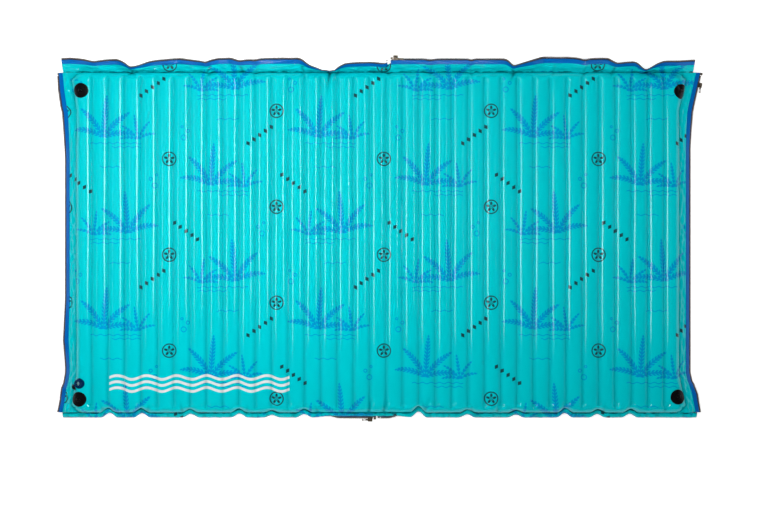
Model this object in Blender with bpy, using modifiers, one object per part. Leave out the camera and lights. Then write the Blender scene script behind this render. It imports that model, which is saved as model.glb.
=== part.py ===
"""A ribbed inflatable pool float mat with a zip along every edge, laid flat.

X runs along the long side and Y across it. The origin is on the underside, in the middle of the
middle tube's flat. Lengths are metres. The mat is read from a front view, so places along its
edges are pixel coordinates of that view, turned into shares of the mat's own half length, half
width and skirt width.
"""

import math

import bmesh
import bpy
import numpy as np
from mathutils import Matrix, Vector
from mathutils.bvhtree import BVHTree

# Films: two ribbed sheets welded together round the mat
TUBE_COUNT = 37
TUBE_PITCH = 0.069
MAT_WIDTH = 1.443
UPPER_RISE = 0.0375
LOWER_RISE = 0.038
VALLEY_DEPTH = 0.013
FLAT_DEPTH = 0.0005
FILM_WALL = 0.0005
SEAM_GAP = 0.0012
KNUCKLE_INSET = 0.016
RIB_INSET = 0.045
CORNER_RADIUS = 0.062
FLARE_LEFT = 0.027
FLARE_RIGHT = 0.038
FLARE_LENGTH = 0.168
PUCKER_DEPTH = 0.024
KNUCKLE_PUCKER_SHARE = 0.7
SHOULDER_SHARE = 0.2

# Web: one pleated sheet that ties the films at every valley
WEB_WALL = 0.0003
WEB_CLEARANCE = 0.0008
WEB_INSET = 0.075
WEB_ARCH_SHARES = (0.25, 0.75)
WEB_ARCH_CLEARANCE = 0.002

# Skirt, tape, band and chain: widths out from the seam, and heights off the skirt's middle
SKIRT_WIDTH = 0.046
SKIRT_WALL = 0.0008
TAPE_END = 0.06
TAPE_WALL = 0.0008
BAND_START = 0.038
BAND_END = 0.0565
BAND_WALL = 0.0005
BAND_LIFT = 0.00075
CHAIN_WIDTH = 0.006
CHAIN_THICKNESS = 0.0035
TOUCH_GAP = 0.0003
CHAIN_GAP = 0.0006
FLOOR_CLEARANCE = 0.001
FILM_EDGE_GAP = 0.0008

# Slider, with its pull
SLIDER_LENGTH = 0.02
SLIDER_POST_LENGTH = 0.005
SLIDER_POST_HALF = 0.0015
SLIDER_FLANGE = 0.0012
SLIDER_PLATE = 0.0013
SLIDER_CLEARANCE = 0.0005
TAPE_SLOT = 0.0022
LUG_LENGTH = 0.0032
LUG_WALL = 0.0015
PIN_RADIUS = 0.0009
PIN_CLEARANCE = 0.0003
EYE_RADIUS = 0.0024
PULL_EYE_WIDTH = 0.006
PULL_LENGTH = 0.035
PULL_WIDTH = 0.0085
PULL_THICKNESS = 0.0016
PULL_NECK_LENGTH = 0.006
PULL_SLOT_SHARES = (0.55, 0.88)
PULL_LIFT_DEGREES = 14

# Zip ends
END_GAP = 0.003
BOX_LENGTH = 0.01
BOX_WIDTH = 0.009
BOX_THICKNESS = 0.006
STOP_WIDTH = 0.0036
STOP_THICKNESS = 0.003

# Tie patches and loops
PATCH_RADIUS = 0.0315
PATCH_WALL = 0.0012
PATCH_GAP = 0.0004
LOOP_BASE_RADIUS = 0.0105
LOOP_BASE_WALL = 0.0018
LOOP_WIRE_RADIUS = 0.0017
LOOP_INNER_RADIUS = 0.0046
LOOP_LEG = 0.003
LOOP_HEADING_DEGREES = 90
LOOP_SEAT = 0.0008

# Valve
VALVE_SEAM_INSET = 0.0202
VALVE_FLANGE_RADIUS = 0.022
VALVE_HOLE_RADIUS = 0.01
NECK_BORE_RADIUS = 0.0096
NECK_WALL = 0.0026
NECK_FOOT_RADIUS = 0.015
NECK_FOOT_WALL = 0.002
NECK_RIM_RADIUS = 0.0162
NECK_RIM_WALL = 0.003
NECK_HEIGHT = 0.014
CAP_RADIUS = 0.014
CAP_WALL = 0.003
CAP_HOLLOW = 0.001
PLUG_WALL = 0.002
PLUG_DEPTH = 0.005
PLUG_CLEARANCE = 0.0006
STRAP_WALL = 0.0016
STRAP_RING_WALL = 0.002
STRAP_WIDTH = 0.004
HINGE_RADIUS = 0.0012
HINGE_STANDOFF = 0.0024
CAP_OPEN_DEGREES = 225
CAP_HEADING_DEGREES = 210
FLAP_WALL = 0.0008
FLAP_CLEARANCE = 0.0008
FLAP_SEAT = 0.0012

# How finely pieces are made, how far cutters run past a face, and how near corners are merged
ROUND_STEPS = 20
PIN_STEPS = 12
EYE_STEPS = 16
DISC_STEPS = 24
LOOP_STEPS = 8
SECTION_SAMPLES = 67
CUT_OVERRUN = 0.005
WELD = 0.00001

# Where the front view's landmarks lie, in its pixels
VIEW_CENTRE_PX = (377.75, 242.6)
VIEW_HALF_PX = (301.35, 170.3)
VIEW_SKIRT_PX = 15.65
TOP_EDGE_PX = (
    (63, 59.1), (72, 58.6), (84, 60), (96, 63), (106, 61), (117, 59.8), (123, 61.7), (129, 66),
    (135, 68.7), (142, 66.8), (151, 63), (161, 60.8), (180, 58.9), (193, 61), (206, 63), (211, 61),
    (219, 58.9), (231, 58.5), (240, 61.9), (258, 59.1), (281, 58.5), (284, 58.5), (296, 58.5),
    (299, 58.5), (304, 61.5), (309, 66.5), (319, 70.6), (329, 75.1), (333.5, 73.8), (339, 68.4),
    (346, 64.9), (358, 63.9), (372, 63.6), (384, 65), (387.5, 61), (389.2, 59.5), (498, 59.5),
    (503, 59.5), (507, 61), (512, 67), (518, 65.8), (532, 60.9), (543, 57), (563, 56.8),
    (586, 59.4), (607, 58.4), (611, 61), (614, 65), (625, 63.5), (634, 63), (639, 68.6),
    (644, 71.1), (648, 69.6), (654, 65.5), (662, 62.4), (677, 62.2), (693, 61.1),
)
LEFT_EDGE_PX = (
    (72.3, 55.6), (90, 57.4), (107, 60), (120, 61.4), (150, 62.8), (180, 63.8), (210, 64.2),
    (250, 63.9), (300, 63), (340, 61.6), (365, 63), (375, 63.3), (382, 61.9), (389, 59.4),
    (401, 57.9), (412.9, 55.6),
)
RIGHT_EDGE_PX = (
    (72.3, 703), (105, 695.6), (112, 694.2), (120, 693.8), (130, 693.2), (150, 692.4), (180, 691.9),
    (260, 691.7), (298, 691.7), (370, 691.9), (379, 692.7), (384, 695.6), (394, 699), (403, 700.6),
    (412.9, 702.5),
)
RIGHT_STRAIGHT_PX = 105
TOP_SPLIT_PX = (387.5, 390.5)
BOTTOM_SPLIT_PX = (376, 377.5)
BOTTOM_ENDS_PX = (62.5, 697)
KICK_START_PX = 303
KICK_FULL_PX = (339, 389)
KICK_END_PX = 421
KICK_STEPS = 9
PATCH_PX = {
    "top_left": (82.5, 91.5),
    "top_right": (679.5, 92.5),
    "bottom_left": (80.5, 398.5),
    "bottom_right": (676.5, 396.2),
}
VALVE_PY = 382.8
SLIDER_TOP_PX = 395.5
SLIDER_RIGHT_PX = 84.8
SLIDER_BOTTOM_PX = 370

# Turns of the skirt's section, in degrees from level, at shares of its width out from the seam
TUCK_TURNS = ((0, 0), (0.08, 0), (0.85, -180), (1, -180))
KICK_TURNS = ((0, 80), (0.15, 80), (0.41, -95), (0.7, -95), (0.85, -8), (1, -8))
BLEND_TURNS = ((0, 34), (0.2, 34), (0.36, 0), (1, 0))
BOTTOM_FOLD_SHARES = (0.15, 0.28, 0.41)
# Seams between tubes, counted from the left, where the bottom edge draws in, and by how much
PUCKER_SHARES = {
    2: 0.75, 4: 0.7, 7: 0.6, 10: 0.65, 12: 0.4, 14: 0.6, 21: 1, 24: 0.5, 27: 0.45, 30: 0.7,
    32: 0.55, 34: 0.6,
}

# Derived sizes
HALF_LENGTH = TUBE_COUNT * TUBE_PITCH / 2
HALF_WIDTH = MAT_WIDTH / 2
MID_Z = LOWER_RISE - FLAT_DEPTH
EDGE_WIDTH = TAPE_END + CHAIN_GAP + CHAIN_WIDTH
ARCH_RADIUS = ((TUBE_PITCH / 2) ** 2 + VALLEY_DEPTH**2) / (2 * VALLEY_DEPTH)
FLAT_SHARE = math.sqrt(2 * ARCH_RADIUS * FLAT_DEPTH - FLAT_DEPTH**2) / TUBE_PITCH
TUBE_SHARES = (0, SHOULDER_SHARE, 0.5 - FLAT_SHARE, 0.5 + FLAT_SHARE, 1 - SHOULDER_SHARE)
SAMPLES = np.linspace(0, 1, SECTION_SAMPLES)

COLOURS = {
    "film": ((0.0, 0.62, 0.66, 1), 0.18, 0),
    "clear_film": ((0.35, 0.75, 0.78, 1), 0.25, 0),
    "band": ((0.0, 0.14, 0.62, 1), 0.2, 0),
    "tape": ((0.05, 0.05, 0.06, 1), 0.8, 0),
    "chain": ((0.18, 0.13, 0.1, 1), 0.4, 0),
    "metal": ((0.5, 0.4, 0.28, 1), 0.35, 1),
    "patch": ((0.01, 0.01, 0.012, 1), 0.35, 0),
    "valve": ((0.0, 0.04, 0.14, 1), 0.25, 0),
}


def clear_scene():
    """Remove every object and make the two collections."""
    for old in list(bpy.data.objects):
        bpy.data.objects.remove(old, do_unlink=True)
    for name in ("pool_float_mat", "cutters"):
        if name not in bpy.data.collections:
            bpy.context.scene.collection.children.link(bpy.data.collections.new(name))


def finish_material(name):
    """A plain Principled material in one of the mat's finishes."""
    if name in bpy.data.materials:
        return bpy.data.materials[name]
    colour, roughness, metallic = COLOURS[name]
    material = bpy.data.materials.new(name)
    material.use_nodes = True
    shader = material.node_tree.nodes["Principled BSDF"]
    shader.inputs["Base Color"].default_value = colour
    shader.inputs["Roughness"].default_value = roughness
    shader.inputs["Metallic"].default_value = metallic
    material.diffuse_color = colour
    return material


def add_object(name, net, finish, place=None):
    """Turn a bmesh into a named piece of the mat."""
    mesh = bpy.data.meshes.new(name)
    net.to_mesh(mesh)
    net.free()
    piece = bpy.data.objects.new(name, mesh)
    bpy.data.collections["pool_float_mat"].objects.link(piece)
    mesh.materials.append(finish_material(finish))
    if place is not None:
        piece.matrix_world = place
    return piece


def add_cutter(name, net, place=None):
    """Turn a bmesh into a cutter, which the build leaves out."""
    mesh = bpy.data.meshes.new(name)
    net.to_mesh(mesh)
    net.free()
    cutter = bpy.data.objects.new(name, mesh)
    bpy.data.collections["cutters"].objects.link(cutter)
    cutter.hide_render = True
    cutter.display_type = "WIRE"
    if place is not None:
        cutter.matrix_world = place
    return cutter


def combine(piece, other, operation):
    """Put a Boolean modifier on a piece."""
    change = piece.modifiers.new(f"{operation.lower()}_{other.name}", "BOOLEAN")
    change.operation = operation
    change.solver = "EXACT"
    change.object = other


def add_wall(piece, wall, offset):
    """Give an open sheet its thickness."""
    solid = piece.modifiers.new("wall", "SOLIDIFY")
    solid.thickness = wall
    solid.offset = offset


def box_net(low, high):
    """A box between two corners."""
    net = bmesh.new()
    bmesh.ops.create_cube(net, size=1)
    for corner in net.verts:
        share = corner.co + Vector((0.5, 0.5, 0.5))
        corner.co = [a + (b - a) * s for a, b, s in zip(low, high, share)]
    return net


def rod_net(radius, low, high, steps=ROUND_STEPS, far_radius=None):
    """A cylinder or cone along Z between two heights."""
    net = bmesh.new()
    bmesh.ops.create_cone(
        net, cap_ends=True, segments=steps, depth=high - low,
        radius1=radius, radius2=radius if far_radius is None else far_radius,
    )
    bmesh.ops.translate(net, verts=net.verts, vec=(0, 0, (low + high) / 2))
    return net


def turned(name, outline, finish, place, closed):
    """A turned piece from an outline of (radius, height) points that runs down its outer side."""
    net = bmesh.new()
    corners = [net.verts.new((radius, 0, height)) for radius, height in outline]
    for first, second in zip(corners, corners[1:]):
        net.edges.new((first, second))
    if closed:
        net.edges.new((corners[-1], corners[0]))
    piece = add_object(name, net, finish, place)
    screw = piece.modifiers.new("turn", "SCREW")
    screw.steps = ROUND_STEPS
    screw.render_steps = ROUND_STEPS
    screw.use_merge_vertices = True
    screw.merge_threshold = WELD
    return piece


def cell_net(columns, lines):
    """A flat net of cells with corners at the given columns and lines."""
    net = bmesh.new()
    across, up = len(columns) - 1, len(lines) - 1
    bmesh.ops.create_grid(net, x_segments=across, y_segments=up, size=1)
    for corner in net.verts:
        column = round((corner.co.x + 1) / 2 * across)
        line = round((corner.co.y + 1) / 2 * up)
        corner.co = (columns[column], lines[line], 0)
    return net


def cut_diagonals(net):
    """Cut each four-sided cell on its rising diagonal, so that stacked layers have parallel facets."""
    for face in list(net.faces):
        if len(face.verts) == 4:
            low = min(face.verts, key=lambda corner: corner.co.x + corner.co.y)
            high = max(face.verts, key=lambda corner: corner.co.x + corner.co.y)
            bmesh.utils.face_split(face, low, high)


def raise_net(net):
    """Turn a flat net into a slab one unit high."""
    raised = bmesh.ops.extrude_face_region(net, geom=net.faces[:])
    top = [item for item in raised["geom"] if isinstance(item, bmesh.types.BMVert)]
    bmesh.ops.translate(net, verts=top, vec=(0, 0, 1))


def bend_net(net, place):
    """Move each corner of a net from its own coordinates to its place in the mat."""
    bmesh.ops.recalc_face_normals(net, faces=net.faces)
    for corner in net.verts:
        corner.co = place(*corner.co)
    if net.calc_volume(signed=True) < 0:
        bmesh.ops.reverse_faces(net, faces=net.faces)


def side_flare(inset, flare):
    """How far a short side's seam swings out, at a distance in from the long side's seam."""
    return flare * max(0, 1 - inset / FLARE_LENGTH)


def arch_depth(share):
    """How far below its crown a tube's film lies, at a share of the pitch."""
    across = abs(share - 0.5) * TUBE_PITCH
    return ARCH_RADIUS - math.sqrt(ARCH_RADIUS**2 - across**2)


def pucker(seam):
    """How far the bottom edge draws in at a seam between tubes."""
    return PUCKER_SHARES.get(seam, 0) * PUCKER_DEPTH


def line_y(line):
    """The Y of a film net's line: seam, knuckle and rib start at each end."""
    places = (
        -HALF_WIDTH, -HALF_WIDTH + KNUCKLE_INSET, -HALF_WIDTH + RIB_INSET,
        HALF_WIDTH - RIB_INSET, HALF_WIDTH - KNUCKLE_INSET, HALF_WIDTH,
    )
    return float(np.interp(line, range(len(places)), places))


def seam_corner(side, line):
    """The seam's place on a short side, -1 or 1, at a line of the film's net."""
    flare = FLARE_LEFT if side < 0 else FLARE_RIGHT
    y = line_y(line)
    x = HALF_LENGTH + side_flare(HALF_WIDTH - abs(y), flare)
    centre = Vector((HALF_LENGTH + flare - CORNER_RADIUS, HALF_WIDTH - CORNER_RADIUS))
    arm = Vector((x, abs(y))) - centre
    if arm.x > 0 and arm.y > 0 and arm.length > CORNER_RADIUS:
        arm *= CORNER_RADIUS / arm.length
        return side * (centre.x + arm.x), math.copysign(centre.y + arm.y, y)
    return side * x, y


def film_place(tube, line, up):
    """A point of a ribbed film: up is 1 for the upper one and -1 for the lower one."""
    y = line_y(line)
    end = min(line, 5 - line)
    whole = min(int(tube + WELD), TUBE_COUNT - 1)
    share = tube - whole
    rise = UPPER_RISE if up > 0 else LOWER_RISE
    x = -HALF_LENGTH + tube * TUBE_PITCH
    if tube <= WELD or tube >= TUBE_COUNT - WELD:
        x, y = seam_corner(-1 if tube < 1 else 1, line)
        return Vector((x, y, MID_Z + up * SEAM_GAP / 2))
    if tube < 1:
        x += (1 - tube) * (seam_corner(-1, line)[0] + HALF_LENGTH)
    if tube > TUBE_COUNT - 1:
        x += (tube - TUBE_COUNT + 1) * (seam_corner(1, line)[0] - HALF_LENGTH)
    if end < WELD:
        if line < 1:
            y += pucker(round(tube))
        return Vector((x, y, MID_Z + up * SEAM_GAP / 2))
    if end < 1 + WELD:
        if line < 2:
            y += KNUCKLE_PUCKER_SHARE * pucker(round(tube))
        height = math.sqrt(rise**2 - (rise - KNUCKLE_INSET) ** 2)
    elif tube < 0.5 or tube > TUBE_COUNT - 0.5:
        near = share if tube < 1 else 1 - share
        height = rise * math.sqrt(1 - (1 - near / 0.5) ** 2)
    else:
        height = rise - arch_depth(share)
    return Vector((x, y, MID_Z + up * height))


def film_net(up):
    """The outer surface of a ribbed film, as an open net."""
    tubes = [tube + share for tube in range(TUBE_COUNT) for share in TUBE_SHARES] + [TUBE_COUNT]
    net = cell_net(tubes, range(6))
    for corner in net.verts:
        if not 1 < corner.co.y < 4:
            corner.co.x = round(corner.co.x)
    bmesh.ops.remove_doubles(net, verts=net.verts, dist=WELD)
    bend_at = (FLARE_LENGTH - RIB_INSET) / (MAT_WIDTH - 2 * RIB_INSET)
    for line in (2 + bend_at, 3 - bend_at):
        outer = [
            face for face in net.faces
            if face.calc_center_median().x < 1 or face.calc_center_median().x > TUBE_COUNT - 1
        ]
        edges = {edge for face in outer for edge in face.edges}
        corners = {corner for face in outer for corner in face.verts}
        bmesh.ops.bisect_plane(
            net, geom=outer + list(edges) + list(corners), dist=WELD,
            plane_co=(0, line, 0), plane_no=(0, 1, 0),
        )
    cut_diagonals(net)
    bmesh.ops.triangulate(net, faces=net.faces)
    for corner in net.verts:
        corner.co = film_place(corner.co.x, corner.co.y, up)
    if up < 0:
        bmesh.ops.reverse_faces(net, faces=net.faces)
    net.normal_update()
    return net


class Edge:
    """One side of the mat's skirt, which says where each point of its layers lies."""

    def __init__(self, along, outward, alongs, base, inner, turns):
        self.along = Vector(along)
        self.outward = Vector(outward)
        self.alongs = sorted(set(round(value, 7) for value in alongs))
        self.base = base
        self.inner = inner
        self.turns = turns
        self.sections = [self.section(value) for value in self.alongs]

    def section(self, value):
        """Distances out and up along the skirt's width, with its turn, at one place along the side."""
        turn = self.turns(value)
        step = EDGE_WIDTH / (len(SAMPLES) - 1)
        middle = (turn[1:] + turn[:-1]) / 2
        out = np.concatenate([[0], np.cumsum(np.cos(middle))]) * step
        up = np.concatenate([[0], np.cumsum(np.sin(middle))]) * step
        return out, up, turn

    def point(self, index, share):
        """The skirt's middle surface at a station and a share of the edge's width."""
        value = self.alongs[index]
        out, up, _ = self.sections[index]
        start = self.base(value)
        if share <= 0:
            away, height = FILM_EDGE_GAP - self.inner(value), 0
        else:
            away, height = np.interp(share, SAMPLES, out), np.interp(share, SAMPLES, up)
        flat = self.along * value + self.outward * (start + float(away))
        return Vector((flat.x, flat.y, MID_Z + float(height)))

    def directions(self, index, share):
        """The way along, the way out and the upper normal at a point of the skirt."""
        share = max(share, 0)
        turn = float(np.interp(share, SAMPLES, self.sections[index][2]))
        out = Vector((self.outward.x * math.cos(turn), self.outward.y * math.cos(turn), math.sin(turn)))
        up = Vector((-self.outward.x * math.sin(turn), -self.outward.y * math.sin(turn), math.cos(turn)))
        first, last = max(index - 1, 0), min(index + 1, len(self.alongs) - 1)
        along = (self.point(last, max(share, WELD)) - self.point(first, max(share, WELD))).normalized()
        up = (up - up.dot(along) * along).normalized()
        return along, out, up

    def place(self, index, share, height):
        """A point of a layer, at a height off the skirt's middle surface."""
        return self.point(index, share) + self.directions(index, share)[2] * height

    def station(self, value):
        """The index of the station nearest to a place along the side."""
        return min(range(len(self.alongs)), key=lambda index: abs(self.alongs[index] - value))

    def frame(self, value, distance, heading, height=0):
        """A piece's place on a straight stretch: X the way it runs, Y out, Z up from the tape."""
        index = self.station(value)
        after = min(index + 1, len(self.alongs) - 1)
        share = distance / EDGE_WIDTH
        inside = min(share, 1)
        along, out, up = self.directions(index, inside)
        run = (self.point(after, inside) - self.point(after - 1, inside)).normalized() * heading
        flat_out = (out - out.dot(run) * run).normalized()
        spot = self.point(index, inside) + out * (distance - inside * EDGE_WIDTH)
        lengthwise = (self.along * (value - self.alongs[index])).to_3d()
        spot += run * run.dot(lengthwise)
        turn = Matrix((run, flat_out, run.cross(flat_out))).transposed().to_4x4()
        return Matrix.Translation(spot + up * height) @ turn


def view_x(px):
    """The X of a column of the front view."""
    return (px - VIEW_CENTRE_PX[0]) / VIEW_HALF_PX[0] * HALF_LENGTH


def view_y(py):
    """The Y of a row of the front view."""
    return (VIEW_CENTRE_PX[1] - py) / VIEW_HALF_PX[1] * HALF_WIDTH


def droop_limit():
    """The steepest angle at which a straight skirt stays off the floor."""
    room = (MID_Z - CHAIN_THICKNESS / 2 - FLOOR_CLEARANCE) / EDGE_WIDTH
    return math.asin(min(room, 1))


def chain_start(value, heading):
    """Where a chain starts, past the end piece at its start."""
    return value + heading * (BOX_LENGTH + END_GAP)


def make_edges():
    """The four sides of the skirt, with stations wherever a layer bends, starts or ends."""
    seams = [-HALF_LENGTH + tube * TUBE_PITCH for tube in range(TUBE_COUNT + 1)]
    drawn = [pucker(seam) for seam in range(TUBE_COUNT + 1)]
    top_x = [view_x(px) for px, _ in TOP_EDGE_PX]
    seam_top_px = VIEW_CENTRE_PX[1] - VIEW_HALF_PX[1]
    top_reach = [(seam_top_px - py) / VIEW_SKIRT_PX for _, py in TOP_EDGE_PX]

    def top_turns(value):
        reach = float(np.interp(value, top_x, top_reach))
        return np.full(len(SAMPLES), math.acos(max(0, min(1, reach))))

    split = [view_x(px) for px in TOP_SPLIT_PX]
    top = Edge(
        (1, 0), (0, 1),
        top_x + split + [chain_start(split[0], -1), chain_start(split[1], 1)],
        lambda value: HALF_WIDTH, lambda value: 0, top_turns,
    )

    tuck, kick, blend = (
        np.radians(np.interp(SAMPLES, *zip(*turns))) for turns in (TUCK_TURNS, KICK_TURNS, BLEND_TURNS)
    )
    kick_x = [view_x(px) for px in (KICK_START_PX, *KICK_FULL_PX, KICK_END_PX)]
    blends = [
        *np.linspace(kick_x[0], kick_x[1], KICK_STEPS + 1),
        *np.linspace(kick_x[2], kick_x[3], KICK_STEPS),
    ]

    def bottom_turns(value):
        share = float(np.interp(value, kick_x, (0, 1, 1, 0)))
        return tuck * (1 - share) + kick * share + blend * 4 * share * (1 - share)

    def bottom_draw(value):
        return float(np.interp(value, seams, drawn))

    split = [view_x(px) for px in BOTTOM_SPLIT_PX]
    bottom = Edge(
        (1, 0), (0, -1),
        seams + blends + split + [view_x(px) for px in BOTTOM_ENDS_PX]
        + [chain_start(split[0], -1), chain_start(split[1], 1)],
        lambda value: HALF_WIDTH - bottom_draw(value), lambda value: 0, bottom_turns,
    )

    sides = []
    for side, flare, edge_px, straight_px in (
        (-1, FLARE_LEFT, LEFT_EDGE_PX, 0), (1, FLARE_RIGHT, RIGHT_EDGE_PX, RIGHT_STRAIGHT_PX),
    ):
        sides.append(make_side(side, flare, edge_px, straight_px))
    return {"top": top, "bottom": bottom, "left": sides[0], "right": sides[1]}


def make_side(side, flare, edge_px, straight_px):
    """The skirt along a short side, whose seam swings out towards its ends.

    From its upper end down to straight_px it keeps one slope, so that a slider can run there.
    """
    steepest = droop_limit()
    places = sorted((view_y(py), abs(px - VIEW_CENTRE_PX[0]) - VIEW_HALF_PX[0]) for py, px in edge_px)
    rows = [y for y, _ in places]
    flare_px = flare / HALF_LENGTH * VIEW_HALF_PX[0]
    reaches = [
        (out - side_flare(HALF_WIDTH - abs(y), flare_px)) / VIEW_SKIRT_PX for y, out in places
    ]

    reaches = [
        reaches[-1] if y >= view_y(straight_px) - WELD else reach for y, reach in zip(rows, reaches)
    ]

    def base(value):
        return HALF_LENGTH + side_flare(HALF_WIDTH - abs(value), flare)

    bounds = []
    for line in (0, 1, 2, 3, 4, 5):
        x, y = seam_corner(side, line)
        bounds.append((y, abs(x)))
    bend = HALF_WIDTH - FLARE_LENGTH
    bounds += [(-bend, HALF_LENGTH), (bend, HALF_LENGTH)]
    bounds += [(-HALF_WIDTH, HALF_LENGTH - TUBE_PITCH), (HALF_WIDTH, HALF_LENGTH - TUBE_PITCH)]
    bounds.sort()

    def inner(value):
        return base(value) - float(np.interp(value, *zip(*bounds)))

    def turns(value):
        reach = float(np.interp(value, rows, reaches))
        return np.full(len(SAMPLES), -min(math.acos(max(0, min(1, reach))), steepest))

    starts = [chain_start(end, -math.copysign(1, end)) for end in (-HALF_WIDTH, HALF_WIDTH)]
    alongs = [y for y in rows if abs(y) < HALF_WIDTH] + [y for y, _ in bounds] + starts
    return Edge((0, 1), (side, 0), alongs, base, inner, turns)


def add_layer(name, finish, edge, ends, shares, low, high):
    """One layer of the edge, between two places along it and over shares of its width."""
    first, last = (edge.station(value) for value in ends)
    net = cell_net(range(first, last + 1), shares)
    cut_diagonals(net)
    raise_net(net)
    bend_net(net, lambda index, share, up: edge.place(round(index), share, low + up * (high - low)))
    return add_object(name, net, finish)


def make_films():
    """The two ribbed films, the lower one flattened where it rests on the floor."""
    for name, up in (("upper_film", 1), ("lower_film", -1)):
        film = add_object(name, film_net(up), "film")
        add_wall(film, FILM_WALL, -1)


def make_web():
    """The pleated sheet inside: up one valley, along under a tube's film, down the next."""
    top = MID_Z + UPPER_RISE - VALLEY_DEPTH - FILM_WALL - WEB_CLEARANCE
    bottom = MID_Z - LOWER_RISE + VALLEY_DEPTH + FILM_WALL + WEB_CLEARANCE
    path = []
    for valley in range(1, TUBE_COUNT):
        x = -HALF_LENGTH + valley * TUBE_PITCH
        upward = valley % 2 == 1
        path += [(x, bottom), (x, top)] if upward else [(x, top), (x, bottom)]
        if valley == TUBE_COUNT - 1:
            break
        for share in WEB_ARCH_SHARES:
            drop = arch_depth(share) + FILM_WALL + WEB_ARCH_CLEARANCE
            z = MID_Z + UPPER_RISE - drop if upward else MID_Z - LOWER_RISE + drop
            path.append((x + share * TUBE_PITCH, z))
    points = [Vector((x, z)) for x, z in path]
    half = HALF_WIDTH - WEB_INSET

    def place(index, line, up):
        index = round(index)
        before = (points[index] - points[max(index - 1, 0)]).normalized()
        after = (points[min(index + 1, len(points) - 1)] - points[index]).normalized()
        way = (before + after).normalized()
        spot = points[index] + Vector((-way.y, way.x)) * (up - 0.5) * WEB_WALL
        return Vector((spot.x, line, spot.y))

    net = cell_net(range(len(points)), (-half, half))
    raise_net(net)
    bend_net(net, place)
    add_object("web_sheet", net, "clear_film")


def make_skirts(edges):
    """The four skirts, and on them the tape, the band and the chain of each run of zip."""
    film_end, band_start, band_end, tape_end = (
        width / EDGE_WIDTH for width in (SKIRT_WIDTH, BAND_START, BAND_END, TAPE_END)
    )
    tape_start = (SKIRT_WIDTH + TOUCH_GAP) / EDGE_WIDTH
    chain_in = (TAPE_END + CHAIN_GAP) / EDGE_WIDTH
    runs = {
        "left": ("left", -HALF_WIDTH, HALF_WIDTH, False, True),
        "right": ("right", -HALF_WIDTH, HALF_WIDTH, False, True),
        "top_left": ("top", view_x(TOP_EDGE_PX[0][0]), view_x(TOP_SPLIT_PX[0]), False, True),
        "top_right": ("top", view_x(TOP_SPLIT_PX[1]), view_x(TOP_EDGE_PX[-1][0]), True, False),
        "bottom_left": ("bottom", view_x(BOTTOM_ENDS_PX[0]), view_x(BOTTOM_SPLIT_PX[0]), False, True),
        "bottom_right": ("bottom", view_x(BOTTOM_SPLIT_PX[1]), view_x(BOTTOM_ENDS_PX[1]), True, False),
    }
    for name, edge in edges.items():
        folds = BOTTOM_FOLD_SHARES if name == "bottom" else ()
        shares = (0, *folds, band_start, film_end)
        ends = (edge.alongs[0], edge.alongs[-1])
        add_layer(f"skirt_{name}", "film", edge, ends, shares, -SKIRT_WALL / 2, SKIRT_WALL / 2)
    for name, (side, start, end, trim_start, trim_end) in runs.items():
        edge = edges[side]
        middle = (film_end + band_end) / 2
        folded = side == "bottom"
        add_layer(
            f"edge_band_{name}", "band", edge, (start, end),
            (band_start, film_end, middle, band_end) if folded else (band_start, film_end, band_end),
            BAND_LIFT, BAND_LIFT + BAND_WALL,
        )
        add_layer(
            f"zip_tape_{name}", "tape", edge, (start, end),
            (tape_start, middle, band_end, tape_end) if folded else (tape_start, band_end, tape_end),
            -TAPE_WALL / 2, TAPE_WALL / 2,
        )
        start = chain_start(start, 1) if trim_start else start
        end = chain_start(end, -1) if trim_end else end
        add_layer(
            f"zip_chain_{name}", "chain", edge, (start, end), (chain_in, 1),
            -CHAIN_THICKNESS / 2, CHAIN_THICKNESS / 2,
        )


def make_zip_ends(edges):
    """A box where each zip with a slider starts, and a pin on the half that goes into it."""
    box = (BOX_LENGTH, BOX_WIDTH, BOX_THICKNESS)
    stop = (BOX_LENGTH, STOP_WIDTH, STOP_THICKNESS)
    ends = {
        "zip_box_top": ("top", view_x(TOP_SPLIT_PX[1]), 1, box),
        "zip_box_right": ("right", HALF_WIDTH, -1, box),
        "zip_box_bottom": ("bottom", view_x(BOTTOM_SPLIT_PX[0]), -1, box),
        "zip_pin_top": ("top", view_x(TOP_SPLIT_PX[0]), -1, stop),
        "zip_pin_left": ("left", HALF_WIDTH, -1, stop),
        "zip_pin_bottom": ("bottom", view_x(BOTTOM_SPLIT_PX[1]), 1, stop),
    }
    for name, (side, value, heading, (length, width, thickness)) in ends.items():
        place = edges[side].frame(value, TAPE_END + CHAIN_GAP, heading)
        low = (0, 0, -thickness / 2)
        add_object(name, box_net(low, (length, width, thickness / 2)), "metal", place)


def slider_sizes():
    """Half width, channel height and half height of a slider, from the chain that it runs on."""
    channel_out = SLIDER_POST_HALF + 2 * SLIDER_CLEARANCE + CHAIN_WIDTH
    half_width = channel_out + SLIDER_FLANGE
    channel_half = CHAIN_THICKNESS / 2 + SLIDER_CLEARANCE
    return channel_out, half_width, channel_half, channel_half + SLIDER_PLATE


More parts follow.
